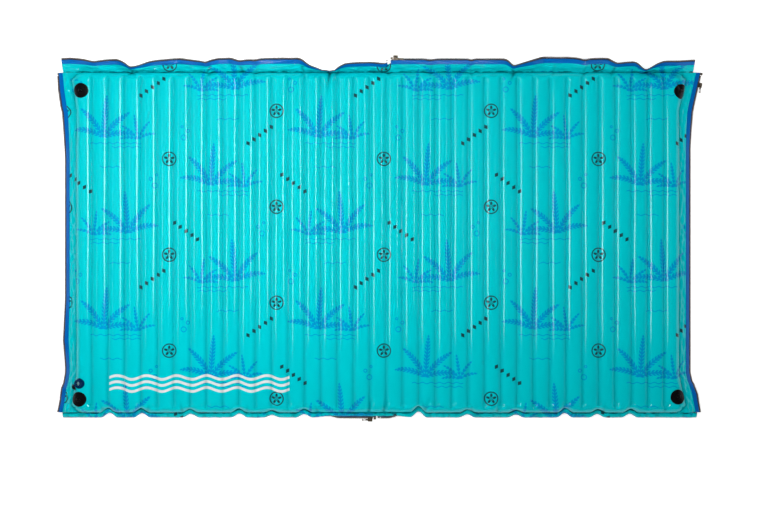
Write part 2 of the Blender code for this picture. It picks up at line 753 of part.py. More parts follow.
def make_slider(name, place):
    """A slider round the chain, with two lugs and a cross pin for its pull."""
    channel_out, half_width, channel_half, half_height = slider_sizes()
    half = SLIDER_LENGTH / 2
    body = add_object(f"zip_slider_{name}", box_net(
        (-half, -half_width, -half_height), (half, half_width, half_height)), "metal", place)
    lane = half + CUT_OVERRUN
    post_back = half - SLIDER_POST_LENGTH
    cuts = {
        "rear": ((-lane, -channel_out, -channel_half), (post_back, channel_out, channel_half)),
        "near": ((0, -channel_out, -channel_half), (lane, -SLIDER_POST_HALF, channel_half)),
        "far": ((0, SLIDER_POST_HALF, -channel_half), (lane, channel_out, channel_half)),
        "slot": (
            (-lane, -half_width - CUT_OVERRUN, -TAPE_SLOT / 2),
            (post_back, half_width + CUT_OVERRUN, TAPE_SLOT / 2),
        ),
        "near_slot": (
            (0, -half_width - CUT_OVERRUN, -TAPE_SLOT / 2), (lane, -SLIDER_POST_HALF, TAPE_SLOT / 2),
        ),
        "far_slot": (
            (0, SLIDER_POST_HALF, -TAPE_SLOT / 2), (lane, half_width + CUT_OVERRUN, TAPE_SLOT / 2),
        ),
    }
    for cut, (low, high) in cuts.items():
        combine(body, add_cutter(f"cut_{name}_{cut}", box_net(low, high), place), "DIFFERENCE")
    pin_z = half_height + EYE_RADIUS + PIN_CLEARANCE
    lug_in = PULL_EYE_WIDTH / 2 + PIN_CLEARANCE
    lug_sink = SLIDER_PLATE / 2
    for side in (-1, 1):
        edge_in, edge_out = sorted((side * lug_in, side * (lug_in + LUG_WALL)))
        lug = box_net(
            (-LUG_LENGTH / 2, edge_in, half_height - lug_sink),
            (LUG_LENGTH / 2, edge_out, pin_z + 2 * PIN_RADIUS),
        )
        combine(body, add_cutter(f"lug_{name}_{side + 1}", lug, place), "UNION")
    pin = rod_net(PIN_RADIUS, -lug_in - LUG_WALL / 2, lug_in + LUG_WALL / 2, steps=PIN_STEPS)
    bmesh.ops.rotate(pin, verts=pin.verts, matrix=Matrix.Rotation(math.pi / 2, 3, "X"))
    bmesh.ops.translate(pin, verts=pin.verts, vec=(0, 0, pin_z))
    combine(body, add_cutter(f"pin_{name}", pin, place), "UNION")
    return pin_z


def make_pull(name, place, pin_z):
    """The slider's pull: an eye round the cross pin, and a flat grip with a slot."""
    turn = Matrix.Rotation(-math.radians(PULL_LIFT_DEGREES), 4, "Y")
    spot = place @ Matrix.Translation((0, 0, pin_z)) @ turn
    eye = rod_net(EYE_RADIUS, -PULL_EYE_WIDTH / 2, PULL_EYE_WIDTH / 2, steps=EYE_STEPS)
    bmesh.ops.rotate(eye, verts=eye.verts, matrix=Matrix.Rotation(math.pi / 2, 3, "X"))
    pull = add_object(f"zip_pull_{name}", eye, "metal", spot)
    grip = box_net(
        (EYE_RADIUS / 2, -PULL_WIDTH / 2, -PULL_THICKNESS / 2),
        (PULL_LENGTH, PULL_WIDTH / 2, PULL_THICKNESS / 2),
    )
    for corner in grip.verts:
        if corner.co.x < PULL_NECK_LENGTH:
            corner.co.y = math.copysign(PULL_EYE_WIDTH / 2 - WELD, corner.co.y)
    combine(pull, add_cutter(f"grip_{name}", grip, spot), "UNION")
    bore = rod_net(PIN_RADIUS + PIN_CLEARANCE, -PULL_WIDTH, PULL_WIDTH, steps=PIN_STEPS)
    bmesh.ops.rotate(bore, verts=bore.verts, matrix=Matrix.Rotation(math.pi / 2, 3, "X"))
    combine(pull, add_cutter(f"bore_{name}", bore, spot), "DIFFERENCE")
    slot = box_net(
        (PULL_LENGTH * PULL_SLOT_SHARES[0], -PULL_WIDTH / 4, -PULL_THICKNESS),
        (PULL_LENGTH * PULL_SLOT_SHARES[1], PULL_WIDTH / 4, PULL_THICKNESS),
    )
    combine(pull, add_cutter(f"slot_{name}", slot, spot), "DIFFERENCE")


def make_sliders(edges):
    """The three sliders on their chains, with their pulls lying along the run."""
    channel_out = slider_sizes()[0]
    centre = TAPE_END + CHAIN_GAP - SLIDER_CLEARANCE + channel_out
    spots = {
        "top": ("top", view_x(SLIDER_TOP_PX), 1),
        "right": ("right", view_y(SLIDER_RIGHT_PX), -1),
        "bottom": ("bottom", view_x(SLIDER_BOTTOM_PX), -1),
    }
    for name, (side, value, heading) in spots.items():
        place = edges[side].frame(value, centre, heading)
        pin_z = make_slider(name, place)
        make_pull(name, place, pin_z)


def film_tree():
    """A search tree over the upper film's outer surface."""
    net = film_net(1)
    tree = BVHTree.FromBMesh(net)
    net.free()
    return tree


def seat_on_film(tree, x, y, heading):
    """A frame on the upper film: Z along its facet's normal, X the heading's way."""
    spot, normal, _, _ = tree.ray_cast(Vector((x, y, 2 * (MID_Z + UPPER_RISE))), Vector((0, 0, -1)))
    way = Vector((math.cos(heading), math.sin(heading), 0))
    way = (way - way.dot(normal) * normal).normalized()
    return Matrix.Translation(spot) @ Matrix((way, normal.cross(way), normal)).transposed().to_4x4()


def make_patch(name, place, radius, finish):
    """A welded patch that follows the upper film, cut round."""
    net = film_net(1)
    centre = place.translation
    far = [face for face in net.faces if not near_face(face, centre, 2 * radius)]
    bmesh.ops.delete(net, geom=far, context="FACES")
    net.normal_update()
    lift = {corner: corner.normal * PATCH_GAP for corner in net.verts}
    for corner, shift in lift.items():
        corner.co += shift
    patch = add_object(name, net, finish)
    add_wall(patch, PATCH_WALL, 1)
    return patch


def near_face(face, centre, reach):
    """Whether a face comes near a point, seen from above."""
    low_x = min(corner.co.x for corner in face.verts)
    high_x = max(corner.co.x for corner in face.verts)
    low_y = min(corner.co.y for corner in face.verts)
    high_y = max(corner.co.y for corner in face.verts)
    return low_x - reach < centre.x < high_x + reach and low_y - reach < centre.y < high_y + reach


def make_ties(tree):
    """The round patches near the corners, each with its loop."""
    for name, (px, py) in PATCH_PX.items():
        spot = seat_on_film(tree, view_x(px), view_y(py), math.radians(LOOP_HEADING_DEGREES))
        patch = make_patch(f"tie_patch_{name}", spot, PATCH_RADIUS, "patch")
        upright = Matrix.Translation((spot.translation.x, spot.translation.y, MID_Z))
        disc = rod_net(PATCH_RADIUS, -UPPER_RISE, 2 * UPPER_RISE, steps=DISC_STEPS)
        combine(patch, add_cutter(f"disc_{name}", disc, upright), "INTERSECT")
        make_loop(name, spot @ Matrix.Translation((0, 0, PATCH_GAP + PATCH_WALL + LOOP_SEAT)))


def make_loop(name, place):
    """A tie loop: a round foot with a half-ring arch of wire on two short legs."""
    loop = add_object(f"tie_loop_{name}", rod_net(LOOP_BASE_RADIUS, 0, LOOP_BASE_WALL), "patch", place)
    radius = LOOP_INNER_RADIUS + LOOP_WIRE_RADIUS
    curve = bpy.data.curves.new(f"arch_{name}", "CURVE")
    curve.dimensions = "3D"
    curve.bevel_depth = LOOP_WIRE_RADIUS
    curve.bevel_resolution = 1
    curve.use_fill_caps = True
    line = curve.splines.new("POLY")
    turns = [math.pi * step / LOOP_STEPS for step in range(LOOP_STEPS + 1)]
    bottom = LOOP_BASE_WALL / 2
    arch = [(radius * math.cos(t), LOOP_BASE_WALL + LOOP_LEG + radius * math.sin(t)) for t in turns]
    path = [(radius, bottom), *arch, (-radius, bottom)]
    line.points.add(len(path) - 1)
    for point, (x, z) in zip(line.points, path):
        point.co = (0, x, z, 1)
    wire = bpy.data.objects.new(f"arch_{name}", curve)
    bpy.data.collections["cutters"].objects.link(wire)
    bpy.context.view_layer.update()
    seen = wire.evaluated_get(bpy.context.evaluated_depsgraph_get())
    mesh = bpy.data.meshes.new_from_object(seen)
    net = bmesh.new()
    net.from_mesh(mesh)
    bmesh.ops.remove_doubles(net, verts=net.verts, dist=WELD)
    bmesh.ops.recalc_face_normals(net, faces=net.faces)
    bpy.data.objects.remove(wire, do_unlink=True)
    combine(loop, add_cutter(f"wire_{name}", net, place), "UNION")


def make_valve(tree):
    """The inflation valve: flange, neck, strap, open cap, and the check flap in the neck."""
    x = -HALF_LENGTH + VALVE_SEAM_INSET
    seat = seat_on_film(tree, x, view_y(VALVE_PY), math.radians(CAP_HEADING_DEGREES))
    tall = 2 * NECK_HEIGHT
    hole = add_cutter("valve_hole", rod_net(VALVE_HOLE_RADIUS, -tall, tall), seat)
    combine(bpy.data.objects["upper_film"], hole, "DIFFERENCE")
    flange = make_patch("valve_flange", seat, VALVE_FLANGE_RADIUS, "valve")
    disc = add_cutter("valve_disc", rod_net(VALVE_FLANGE_RADIUS, -tall, tall), seat)
    combine(flange, disc, "INTERSECT")
    combine(flange, hole, "DIFFERENCE")
    place = seat @ Matrix.Translation((0, 0, PATCH_GAP + PATCH_WALL + TOUCH_GAP))
    tube = NECK_BORE_RADIUS + NECK_WALL
    rim_bottom = NECK_HEIGHT - NECK_RIM_WALL
    turned("valve_neck", [
        (NECK_RIM_RADIUS, NECK_HEIGHT), (NECK_RIM_RADIUS, rim_bottom), (tube, rim_bottom),
        (tube, NECK_FOOT_WALL), (NECK_FOOT_RADIUS, NECK_FOOT_WALL), (NECK_FOOT_RADIUS, 0),
        (NECK_BORE_RADIUS, 0), (NECK_BORE_RADIUS, NECK_HEIGHT),
    ], "valve", place, closed=True)
    hinge_out = NECK_RIM_RADIUS + HINGE_STANDOFF
    hinge_z = NECK_HEIGHT - TOUCH_GAP
    make_strap(place, tube + TOUCH_GAP, rim_bottom - TOUCH_GAP, hinge_out, hinge_z)
    make_cap(place, hinge_out, hinge_z)
    make_flap(place)


def make_strap(place, inner, top, hinge_out, hinge_z):
    """The ring under the neck's rim, and its tongue up to the cap's hinge."""
    low = top - STRAP_WALL
    outer = inner + STRAP_RING_WALL
    strap = turned("valve_strap", [
        (outer, top), (outer, low), (inner, low), (inner, top),
    ], "valve", place, closed=True)
    half = STRAP_WIDTH / 2
    wall = (inner + outer) / 2
    tongue = box_net((wall, -half, low), (hinge_out, half, top))
    riser = box_net((hinge_out - HINGE_RADIUS, -half, low), (hinge_out + HINGE_RADIUS, half, hinge_z))
    for name, net in (("tongue", tongue), ("riser", riser)):
        combine(strap, add_cutter(f"strap_{name}", net, place), "UNION")
    knuckle = add_cutter("strap_knuckle", knuckle_net(hinge_out, hinge_z, -half, half), place)
    combine(strap, knuckle, "UNION")


def knuckle_net(out, height, low, high):
    """A hinge knuckle along Y between two places."""
    net = rod_net(HINGE_RADIUS, low, high, steps=PIN_STEPS)
    bmesh.ops.rotate(net, verts=net.verts, matrix=Matrix.Rotation(-math.pi / 2, 3, "X"))
    bmesh.ops.translate(net, verts=net.verts, vec=(out, 0, height))
    return net


def make_cap(place, hinge_out, hinge_z):
    """The cap with its plug and two hinge ears, swung open about the hinge."""
    hinge = place @ Matrix.Translation((hinge_out, 0, hinge_z))
    turn = Matrix.Rotation(math.radians(CAP_OPEN_DEGREES), 4, "Y")
    open_place = hinge @ turn @ Matrix.Translation((-hinge_out, 0, -hinge_z))
    low = NECK_HEIGHT + TOUCH_GAP
    plug = NECK_BORE_RADIUS - PLUG_CLEARANCE
    roof = low + CAP_HOLLOW
    cap = turned("valve_cap", [
        (0, low + CAP_WALL), (CAP_RADIUS, low + CAP_WALL), (CAP_RADIUS, low), (plug, low),
        (plug, low - PLUG_DEPTH), (plug - PLUG_WALL, low - PLUG_DEPTH), (plug - PLUG_WALL, roof),
        (0, roof),
    ], "patch", open_place, closed=False)
    start = STRAP_WIDTH / 2 + TOUCH_GAP
    end = start + STRAP_WIDTH / 2
    for side in (-1, 1):
        inside, outside = sorted((side * start, side * end))
        ear = box_net((CAP_RADIUS / 2, inside, low + TOUCH_GAP), (hinge_out, outside, low + STRAP_WALL))
        combine(cap, add_cutter(f"cap_ear_{side + 1}", ear, open_place), "UNION")
        knuckle = knuckle_net(hinge_out, hinge_z, inside, outside)
        combine(cap, add_cutter(f"cap_knuckle_{side + 1}", knuckle, open_place), "UNION")


def make_flap(place):
    """The check flap, a thin disc that swings down into the tube."""
    radius = NECK_BORE_RADIUS - FLAP_CLEARANCE
    hinge = place @ Matrix.Translation((radius, 0, FLAP_SEAT + FLAP_WALL / 2))
    net = rod_net(radius, -FLAP_WALL / 2, FLAP_WALL / 2)
    bmesh.ops.translate(net, verts=net.verts, vec=(-radius, 0, 0))
    add_object("valve_flap", net, "clear_film", hinge)


def main():
    """Build the whole mat."""
    clear_scene()
    make_films()
    make_web()
    edges = make_edges()
    make_skirts(edges)
    make_zip_ends(edges)
    make_sliders(edges)
    tree = film_tree()
    make_ties(tree)
    make_valve(tree)


main()
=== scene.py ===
"""The pool float mat in a plain studio: its films and print, its zips, its tie points and its valve.

X runs along the long side and Y along the tubes, and Z is up. Lengths are metres. Places along the
mat's edge are read from a front view, in that view's pixels.
"""

import logging
import math
from dataclasses import dataclass, field
from enum import Enum
from functools import reduce

import bmesh
import bpy
import numpy as np
from mathutils import Matrix, Vector
from mathutils.bvhtree import BVHTree

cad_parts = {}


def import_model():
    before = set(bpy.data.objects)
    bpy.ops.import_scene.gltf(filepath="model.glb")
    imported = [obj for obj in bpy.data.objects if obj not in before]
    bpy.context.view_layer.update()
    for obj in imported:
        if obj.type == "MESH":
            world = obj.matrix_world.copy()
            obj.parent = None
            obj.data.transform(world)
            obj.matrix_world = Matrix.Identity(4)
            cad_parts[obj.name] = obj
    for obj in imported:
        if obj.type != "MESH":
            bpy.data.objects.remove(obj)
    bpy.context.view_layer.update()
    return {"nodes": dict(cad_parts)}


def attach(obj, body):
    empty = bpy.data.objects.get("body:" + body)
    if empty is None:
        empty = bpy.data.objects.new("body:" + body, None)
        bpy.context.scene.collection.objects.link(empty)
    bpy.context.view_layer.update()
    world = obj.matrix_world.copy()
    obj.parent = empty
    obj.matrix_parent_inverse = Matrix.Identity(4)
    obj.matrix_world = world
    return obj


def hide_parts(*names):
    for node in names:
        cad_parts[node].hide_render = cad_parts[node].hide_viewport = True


LOG = logging.getLogger("pool_float_mat")

Arr = np.ndarray
Colour = tuple[float, float, float, float]
Net = bmesh.types.BMesh
Pair = tuple[float, float]
Piece = bpy.types.Object
Point = tuple[float, float, float]
Tree = bpy.types.NodeTree


class Slot(Enum):
    """The record's material slots."""

    FILM = "film"
    CLEAR_FILM = "clear_film"
    BAND = "band"
    TAPE = "tape"
    CHAIN = "chain"
    METAL = "metal"
    PATCH = "patch"
    VALVE = "valve"


class Side(Enum):
    """The mat's sides: the way along, the way out, and the sign of the upper normal."""

    TOP = ((1, 0), (0, 1), 1)
    BOTTOM = ((1, 0), (0, -1), -1)
    LEFT = ((0, 1), (-1, 0), 1)
    RIGHT = ((0, 1), (1, 0), -1)

    def __init__(self, along: tuple[int, int], out: tuple[int, int], sign: int) -> None:
        """Keep the ways as arrays."""
        self.along, self.out, self.sign = np.array(along, float), np.array(out, float), sign


class Term:
    """A shader value that plain arithmetic works on: each step adds a Math node."""

    def __init__(self, socket: bpy.types.NodeSocket) -> None:
        """Keep the socket that gives the value, and its tree."""
        self.socket, self.tree = socket, socket.id_data

    def __add__(self, other: "Value") -> "Term":
        """The sum."""
        return calc("ADD", self, other)

    def __sub__(self, other: "Value") -> "Term":
        """The difference."""
        return calc("SUBTRACT", self, other)

    def __rsub__(self, other: float) -> "Term":
        """A number less the value."""
        return calc("SUBTRACT", other, self)

    def __mul__(self, other: "Value") -> "Term":
        """The product."""
        return calc("MULTIPLY", self, other)

    def __truediv__(self, other: "Value") -> "Term":
        """The quotient."""
        return calc("DIVIDE", self, other)

    def __mod__(self, other: float) -> "Term":
        """What is left over whole steps."""
        return calc("FLOORED_MODULO", self, other)

    def __abs__(self) -> "Term":
        """The value without its sign."""
        return calc("ABSOLUTE", self)

    def within(self, edge: "Value", soft: float) -> "Term":
        """A mask that is 1 under an edge, and fades over soft on either side of it."""
        return calc("MULTIPLY_ADD", edge - self, 0.5 / soft, 0.5, clamp=True)


Value = float | Term
Place = tuple[Term, Term]


def feed(node: bpy.types.Node, inputs: dict[str | int, Value | Colour]) -> None:
    """Give a node's input sockets terms or plain values.

    Args:
        node: The node.
        inputs: What each socket gets, by its name or number.
    """
    for name, value in inputs.items():
        if isinstance(value, Term):
            value.tree.links.new(value.socket, node.inputs[name])
        else:
            node.inputs[name].default_value = value


def add_node(
    tree: Tree, kind: str, inputs: dict[str | int, Value | Colour], **settings: object
) -> bpy.types.Node:
    """Add a node to a shader tree.

    Args:
        tree: The tree.
        kind: The node's type name.
        inputs: What its input sockets get.
        settings: Properties to set on it.

    Returns:
        The node.
    """
    node = tree.nodes.new(kind)
    for name, value in settings.items():
        setattr(node, name, value)
    feed(node, inputs)
    return node


def read(tree: Tree, kind: str, output: str | int, **settings: object) -> Term:
    """Add a node that takes nothing in, and read one of its outputs."""
    return Term(add_node(tree, kind, {}, **settings).outputs[output])


def calc(operation: str, *values: Value, clamp: bool = False) -> Term:
    """Add a Math node.

    Args:
        operation: The node's operation.
        values: Its inputs, in order.
        clamp: Whether the result is held between 0 and 1.

    Returns:
        The result.
    """
    tree = next(value.tree for value in values if isinstance(value, Term))
    inputs = dict(enumerate(values))
    kind = "ShaderNodeMath"
    return Term(add_node(tree, kind, inputs, operation=operation, use_clamp=clamp).outputs[0])


def most(*values: Term) -> Term:
    """The greatest of the values."""
    return reduce(lambda first, second: calc("MAXIMUM", first, second), values)


def mix(mask: Term, first: Term | Colour, second: Term | Colour) -> Term:
    """Mix two colours by a mask, which is 0 for the first."""
    inputs = {0: mask, 6: first, 7: second}
    return Term(add_node(mask.tree, "ShaderNodeMix", inputs, data_type="RGBA").outputs[2])


def noise(place: Term, scale: Value, detail: float = 2.0) -> Term:
    """A noise from 0 to 1, its scale in cells a metre."""
    inputs = {"Vector": place, "Scale": scale, "Detail": detail}
    return Term(add_node(place.tree, "ShaderNodeTexNoise", inputs).outputs["Fac"])


def split(vector: Term) -> list[Term]:
    """The X, Y and Z of a vector."""
    return [Term(way) for way in add_node(vector.tree, "ShaderNodeSeparateXYZ", {0: vector}).outputs]


def bumped(height: Term, strength: float, distance: float) -> Term:
    """The normal of a bumpy surface."""
    inputs = {"Strength": strength, "Distance": distance, "Height": height}
    return Term(add_node(height.tree, "ShaderNodeBump", inputs).outputs[0])


def darker(colour: Colour, share: float) -> Colour:
    """A share of a colour."""
    return tuple(channel * share for channel in colour[:3]) + (1.0,)


def new_group(
    name: str, place: str, numbers: tuple[str, ...], results: tuple[str, ...]
) -> tuple[bpy.types.Node, bpy.types.Node]:
    """Make a shader node group.

    Args:
        name: Its name.
        place: The name of its vector input.
        numbers: The names of its number inputs.
        results: The names of its number outputs.

    Returns:
        The group's input node and output node.
    """
    group = bpy.data.node_groups.new(name, "ShaderNodeTree")
    group.interface.new_socket(place, in_out="INPUT", socket_type="NodeSocketVector")
    for way, names in (("INPUT", numbers), ("OUTPUT", results)):
        for socket in names:
            group.interface.new_socket(socket, in_out=way, socket_type="NodeSocketFloat")
    return add_node(group, "NodeGroupInput", {}), add_node(group, "NodeGroupOutput", {})


def new_material(name: str) -> tuple[bpy.types.Material, bpy.types.Node]:
    """Make a material.

    Args:
        name: Its name.

    Returns:
        The material and its Principled shader.
    """
    material = bpy.data.materials.new(name)
    material.use_nodes = True
    return material, material.node_tree.nodes["Principled BSDF"]


def moved(place: Place, spot: Pair, turn: float = 0.0) -> Place:
    """Measure a place from another one, along turned axes.

    Args:
        place: The place.
        spot: The other place.
        turn: The axes' turn in radians.

    Returns:
        The place as measured there.
    """
    x, y = place[0] - spot[0], place[1] - spot[1]
    if not turn:
        return x, y
    cos, sin = math.cos(turn), math.sin(turn)
    return x * cos + y * sin, y * cos - x * sin


def polar(place: Place) -> Place:
    """A place's distance, and its angle from straight up in radians."""
    x, y = place
    return calc("SQRT", x * x + y * y), calc("ARCTAN2", x, y)


@dataclass(frozen=True)
class PrintPattern:
    """The film's print: fern sprigs, wave lines, bubbles, sand dollars, pebbles and three pale waves.

    The first five repeat over staggered cells, and their places are from a cell's middle.
    """

    cell: Pair = (0.452, 0.404)
    stagger: float = 0.5
    cell_corner: Pair = (-1.33, -0.86)
    shell_corner: Pair = (-1.104, -0.658)
    soft: float = 0.0009
    sprigs: tuple[tuple[Pair, float, float], ...] = (
        ((-0.052, -0.112), 0.18, -0.08), ((0.094, -0.12), 0.108, 0.14),
    )
    frond_width: float = 0.15
    frond_angle: float = 0.5
    frond_bend: float = 0.55
    frond_shrink: float = 0.13
    barb_pitch: float = 0.015
    barb_slant: float = 1.1
    barb_share: float = 0.33
    barb_soft: float = 0.06
    rib_share: float = 0.3
    waves: tuple[tuple[Pair, float], ...] = (
        ((0.0, -0.136), 0.108), ((0.045, -0.152), 0.061), ((0.02, 0.168), 0.046),
    )
    wave_length: float = 0.036
    wave_height: float = 0.0028
    wave_line: float = 0.0016
    bubbles: tuple[tuple[Pair, float], ...] = (
        ((-0.165, 0.09), 0.0105), ((-0.148, 0.118), 0.0065), ((-0.172, 0.135), 0.0045),
    )
    bubble_line: float = 0.0018
    dollar_radius: float = 0.031
    dollar_rim: Pair = (0.9, 0.085)
    petal_reach: float = 0.72
    petal_wall: float = 0.42
    pebble_row: tuple[Pair, float] = ((0.155, 0.1), 0.62)
    pebble_step: float = 0.03
    pebble_radius: float = 0.0085
    pebble_flat: float = 0.7
    pale_box: tuple[float, float, float, float] = (-1.131, -0.372, -0.632, -0.556)
    pale_length: float = 0.126
    pale_height: float = 0.008
    pale_line: float = 0.22
    bare: Pair = (-1.25, -0.56)
    bare_reach: float = 0.075
    seam: float = 0.7222
    pitch: float = 0.069
    # How dark the seam and valley lines are: partly weld, partly painted shade.
    seam_weld_and_shade: float = 0.8
    valley_weld_and_shade: float = 0.26

    def lattice(self, place: Place, corner: Pair) -> tuple[Term, Term, Term]:
        """Repeat a place over staggered cells.

        Args:
            place: The place.
            corner: A corner of one cell.

        Returns:
            X and Y from the cell's middle, and the cell's row.
        """
        along = (place[0] - corner[0]) / self.cell[0]
        column = calc("FLOOR", along)
        up = (place[1] - corner[1]) / self.cell[1] + column % 2.0 * self.stagger
        row = calc("FLOOR", up)
        return (along - column - 0.5) * self.cell[0], (up - row - 0.5) * self.cell[1], row

    def sprig(self, place: Place, root: Pair, length: float, turn: float) -> Term:
        """A fern sprig: five arching fronds of slanted barbs from one root.

        Args:
            place: The place.
            root: The sprig's root.
            length: The middle frond's length.
            turn: The sprig's lean in radians.

        Returns:
            The sprig's mask.
        """
        reach, angle = polar(moved(place, root, turn))
        share = reach / length
        bend = share * self.frond_bend + 1.0
        straight = angle / bend
        count = calc("MAXIMUM", calc("ROUND", straight / self.frond_angle), -2.0)
        count = calc("MINIMUM", count, 2.0)
        across = abs((straight - count * self.frond_angle) * reach * bend)
        along = share / (abs(count) * -self.frond_shrink + 1.0)
        swell = calc("SQRT", calc("MAXIMUM", along * (1.0 - along), 0.0))
        width = swell * (self.frond_width * length) - 1.2 * self.soft
        barb = abs(calc("FRACT", (reach - across * self.barb_slant) / self.barb_pitch) - 0.5)
        barb = barb.within(self.barb_share, self.barb_soft)
        rib = across.within(width * self.rib_share, self.soft)
        return across.within(width, self.soft) * most(barb, rib)

    def wave(self, place: Place, middle: Pair, reach: float) -> Term:
        """A short wavy line.

        Args:
            place: The place.
            middle: The line's middle.
            reach: Half the line's length.

        Returns:
            The line's mask.
        """
        x, y = moved(place, middle)
        off = abs(y - calc("SINE", x * (2 * math.pi / self.wave_length)) * self.wave_height)
        return off.within(self.wave_line, self.soft) * abs(x).within(reach, self.soft)

    def bubble(self, place: Place, middle: Pair, radius: float) -> Term:
        """A small ring's mask."""
        return abs(polar(moved(place, middle))[0] - radius).within(self.bubble_line, self.soft)

    def dollar(self, place: Place) -> Term:
        """A sand dollar: two rings round five petals.

        Args:
            place: The place, from the shell's middle.

        Returns:
            The shell's mask.
        """
        reach, angle = polar(place)
        share, soft = reach / self.dollar_radius, self.soft / self.dollar_radius
        middle, half = self.dollar_rim
        petal = abs(calc("COSINE", angle * 2.5)) * self.petal_reach
        vein = share.within(petal - self.petal_wall, soft)
        body = calc("SUBTRACT", share.within(petal, soft), vein, clamp=True)
        return most(abs(share - middle).within(half, soft), body)

    def pebbles(self, place: Place) -> Term:
        """A slanted row of five small lozenges.

        Args:
            place: The place.

        Returns:
            The row's mask.
        """
        x, y = moved(place, *self.pebble_row)
        off = x - calc("ROUND", x / self.pebble_step) * self.pebble_step
        size = abs(off) + abs(y) * self.pebble_flat
        row = abs(x).within(2.5 * self.pebble_step, self.soft)
        return size.within(self.pebble_radius, self.soft) * row

    def pale_waves(self, place: Place) -> Term:
        """Three long pale waves, one over the other.

        Args:
            place: The place.

        Returns:
            The waves' mask.
        """
        left, right, low, high = self.pale_box
        middle = place[0] - (left + right) / 2
        ripple = calc("SINE", middle * (2 * math.pi / self.pale_length)) * self.pale_height
        share = (place[1] - ripple - low) / ((high - low) / 3)
        stripe = abs(calc("FRACT", share) - 0.5).within(self.pale_line, 0.03)
        ends = abs(middle).within((right - left) / 2, self.soft)
        return stripe * abs(share - 1.5).within(1.5, 0.02) * ends

    def weld(self, place: Place) -> Term:
        """The weld lines along the long seams and, fainter, in the valleys, partly painted shade: the
        dark seam line stands in for the shadow in the seam's groove, and the valley bands for shade
        between the tubes.

        Args:
            place: The place.

        Returns:
            How much the weld lines and their painted shade darken the film.
        """
        x, y = place
        spot = Term(add_node(x.tree, "ShaderNodeCombineXYZ", {0: x, 1: y}).outputs[0])
        wide = noise(spot, 22.0) * 0.022 - 0.009
        reach = abs(y)
        seam = abs(reach - self.seam).within(wide, 0.0012) * self.seam_weld_and_shade
        valley = abs(calc("FRACT", x / self.pitch) - 0.5) * self.pitch
        valley = valley.within(0.004, 0.009) * reach.within(self.seam - 0.02, 0.01)
        return most(seam, valley * self.valley_weld_and_shade)

    def build(self) -> None:
        """Build the print's node group, which gives the masks of its inks and of the welds with their
        painted shade.
        """
        given, result = new_group("mat_print", "Cut", (), ("Blue", "Dark", "Pale", "Weld"))
        place = tuple(split(Term(given.outputs["Cut"]))[:2])
        x, y, row = self.lattice(place, self.cell_corner)
        cell = (x * (row % 2.0 * 2.0 - 1.0), y)
        blue = most(
            *(self.sprig(cell, *sprig) for sprig in self.sprigs),
            *(self.wave(cell, *wave) for wave in self.waves),
            *(self.bubble(cell, *bubble) for bubble in self.bubbles),
        )
        dark = most(self.pebbles(cell), self.dollar(self.lattice(place, self.shell_corner)[:2]))
        bare = most(*map(abs, moved(place, self.bare))).within(self.bare_reach, self.soft)
        pale = self.pale_waves(place)
        clear = 1.0 - pale
        feed(result, {
            "Blue": blue * clear, "Dark": dark * (1.0 - bare) * clear, "Pale": pale,
            "Weld": self.weld(place),
        })


def build_grain() -> None:
    """Build the node group of soft vinyl's unevenness: a bump height and a change of roughness."""
    scales = ("Fine Scale", "Crease Scale")
    given, result = new_group("vinyl_grain", "Place", (*scales, "Crease"), ("Height", "Rough"))
    place = Term(given.outputs["Place"])
    fine, slow = (noise(place, Term(given.outputs[scale])) for scale in scales)
    crease = abs(slow - 0.5) * Term(given.outputs["Crease"])
    feed(result, {"Height": fine * 0.25 + crease, "Rough": slow - 0.5})


@dataclass(frozen=True)
class VinylFinish:
    """Soft glossy vinyl: its colour, gloss and grain."""

    colour: Colour
    roughness: float = 0.12
    uneven: float = 0.06
    fine_scale: float = 900.0
    crease_scale: float = 26.0
    crease: float = 0.6
    bump: float = 0.12
    coat: float = 0.0
    specular: float = 0.22
    mottle: float = 0.06

    def paint(self, base: Term) -> Term:
        """What shows over the base colour: nothing, on plain vinyl."""
        return base

    def material(self, name: str) -> bpy.types.Material:
        """Make the vinyl's material.

        Args:
            name: The material's name.

        Returns:
            The material.
        """
        material, shader = new_material(name)
        place = read(material.node_tree, "ShaderNodeTexCoord", "Object")
        scales = {"Fine Scale": self.fine_scale, "Crease Scale": self.crease_scale}
        grain = add_node(
            place.tree, "ShaderNodeGroup", {"Place": place, **scales, "Crease": self.crease},
            node_tree=bpy.data.node_groups["vinyl_grain"],
        ).outputs
        rough = calc("MULTIPLY_ADD", Term(grain["Rough"]), self.uneven, self.roughness, clamp=True)
        base = mix(noise(place, 3.0), self.colour, darker(self.colour, 1 - self.mottle))
        feed(shader, {
            "Base Color": self.paint(base), "Roughness": rough, "IOR": 1.5,
            "Normal": bumped(Term(grain["Height"]), self.bump, 0.001),
            "Specular IOR Level": self.specular, "Coat Weight": self.coat,
        })
        return material


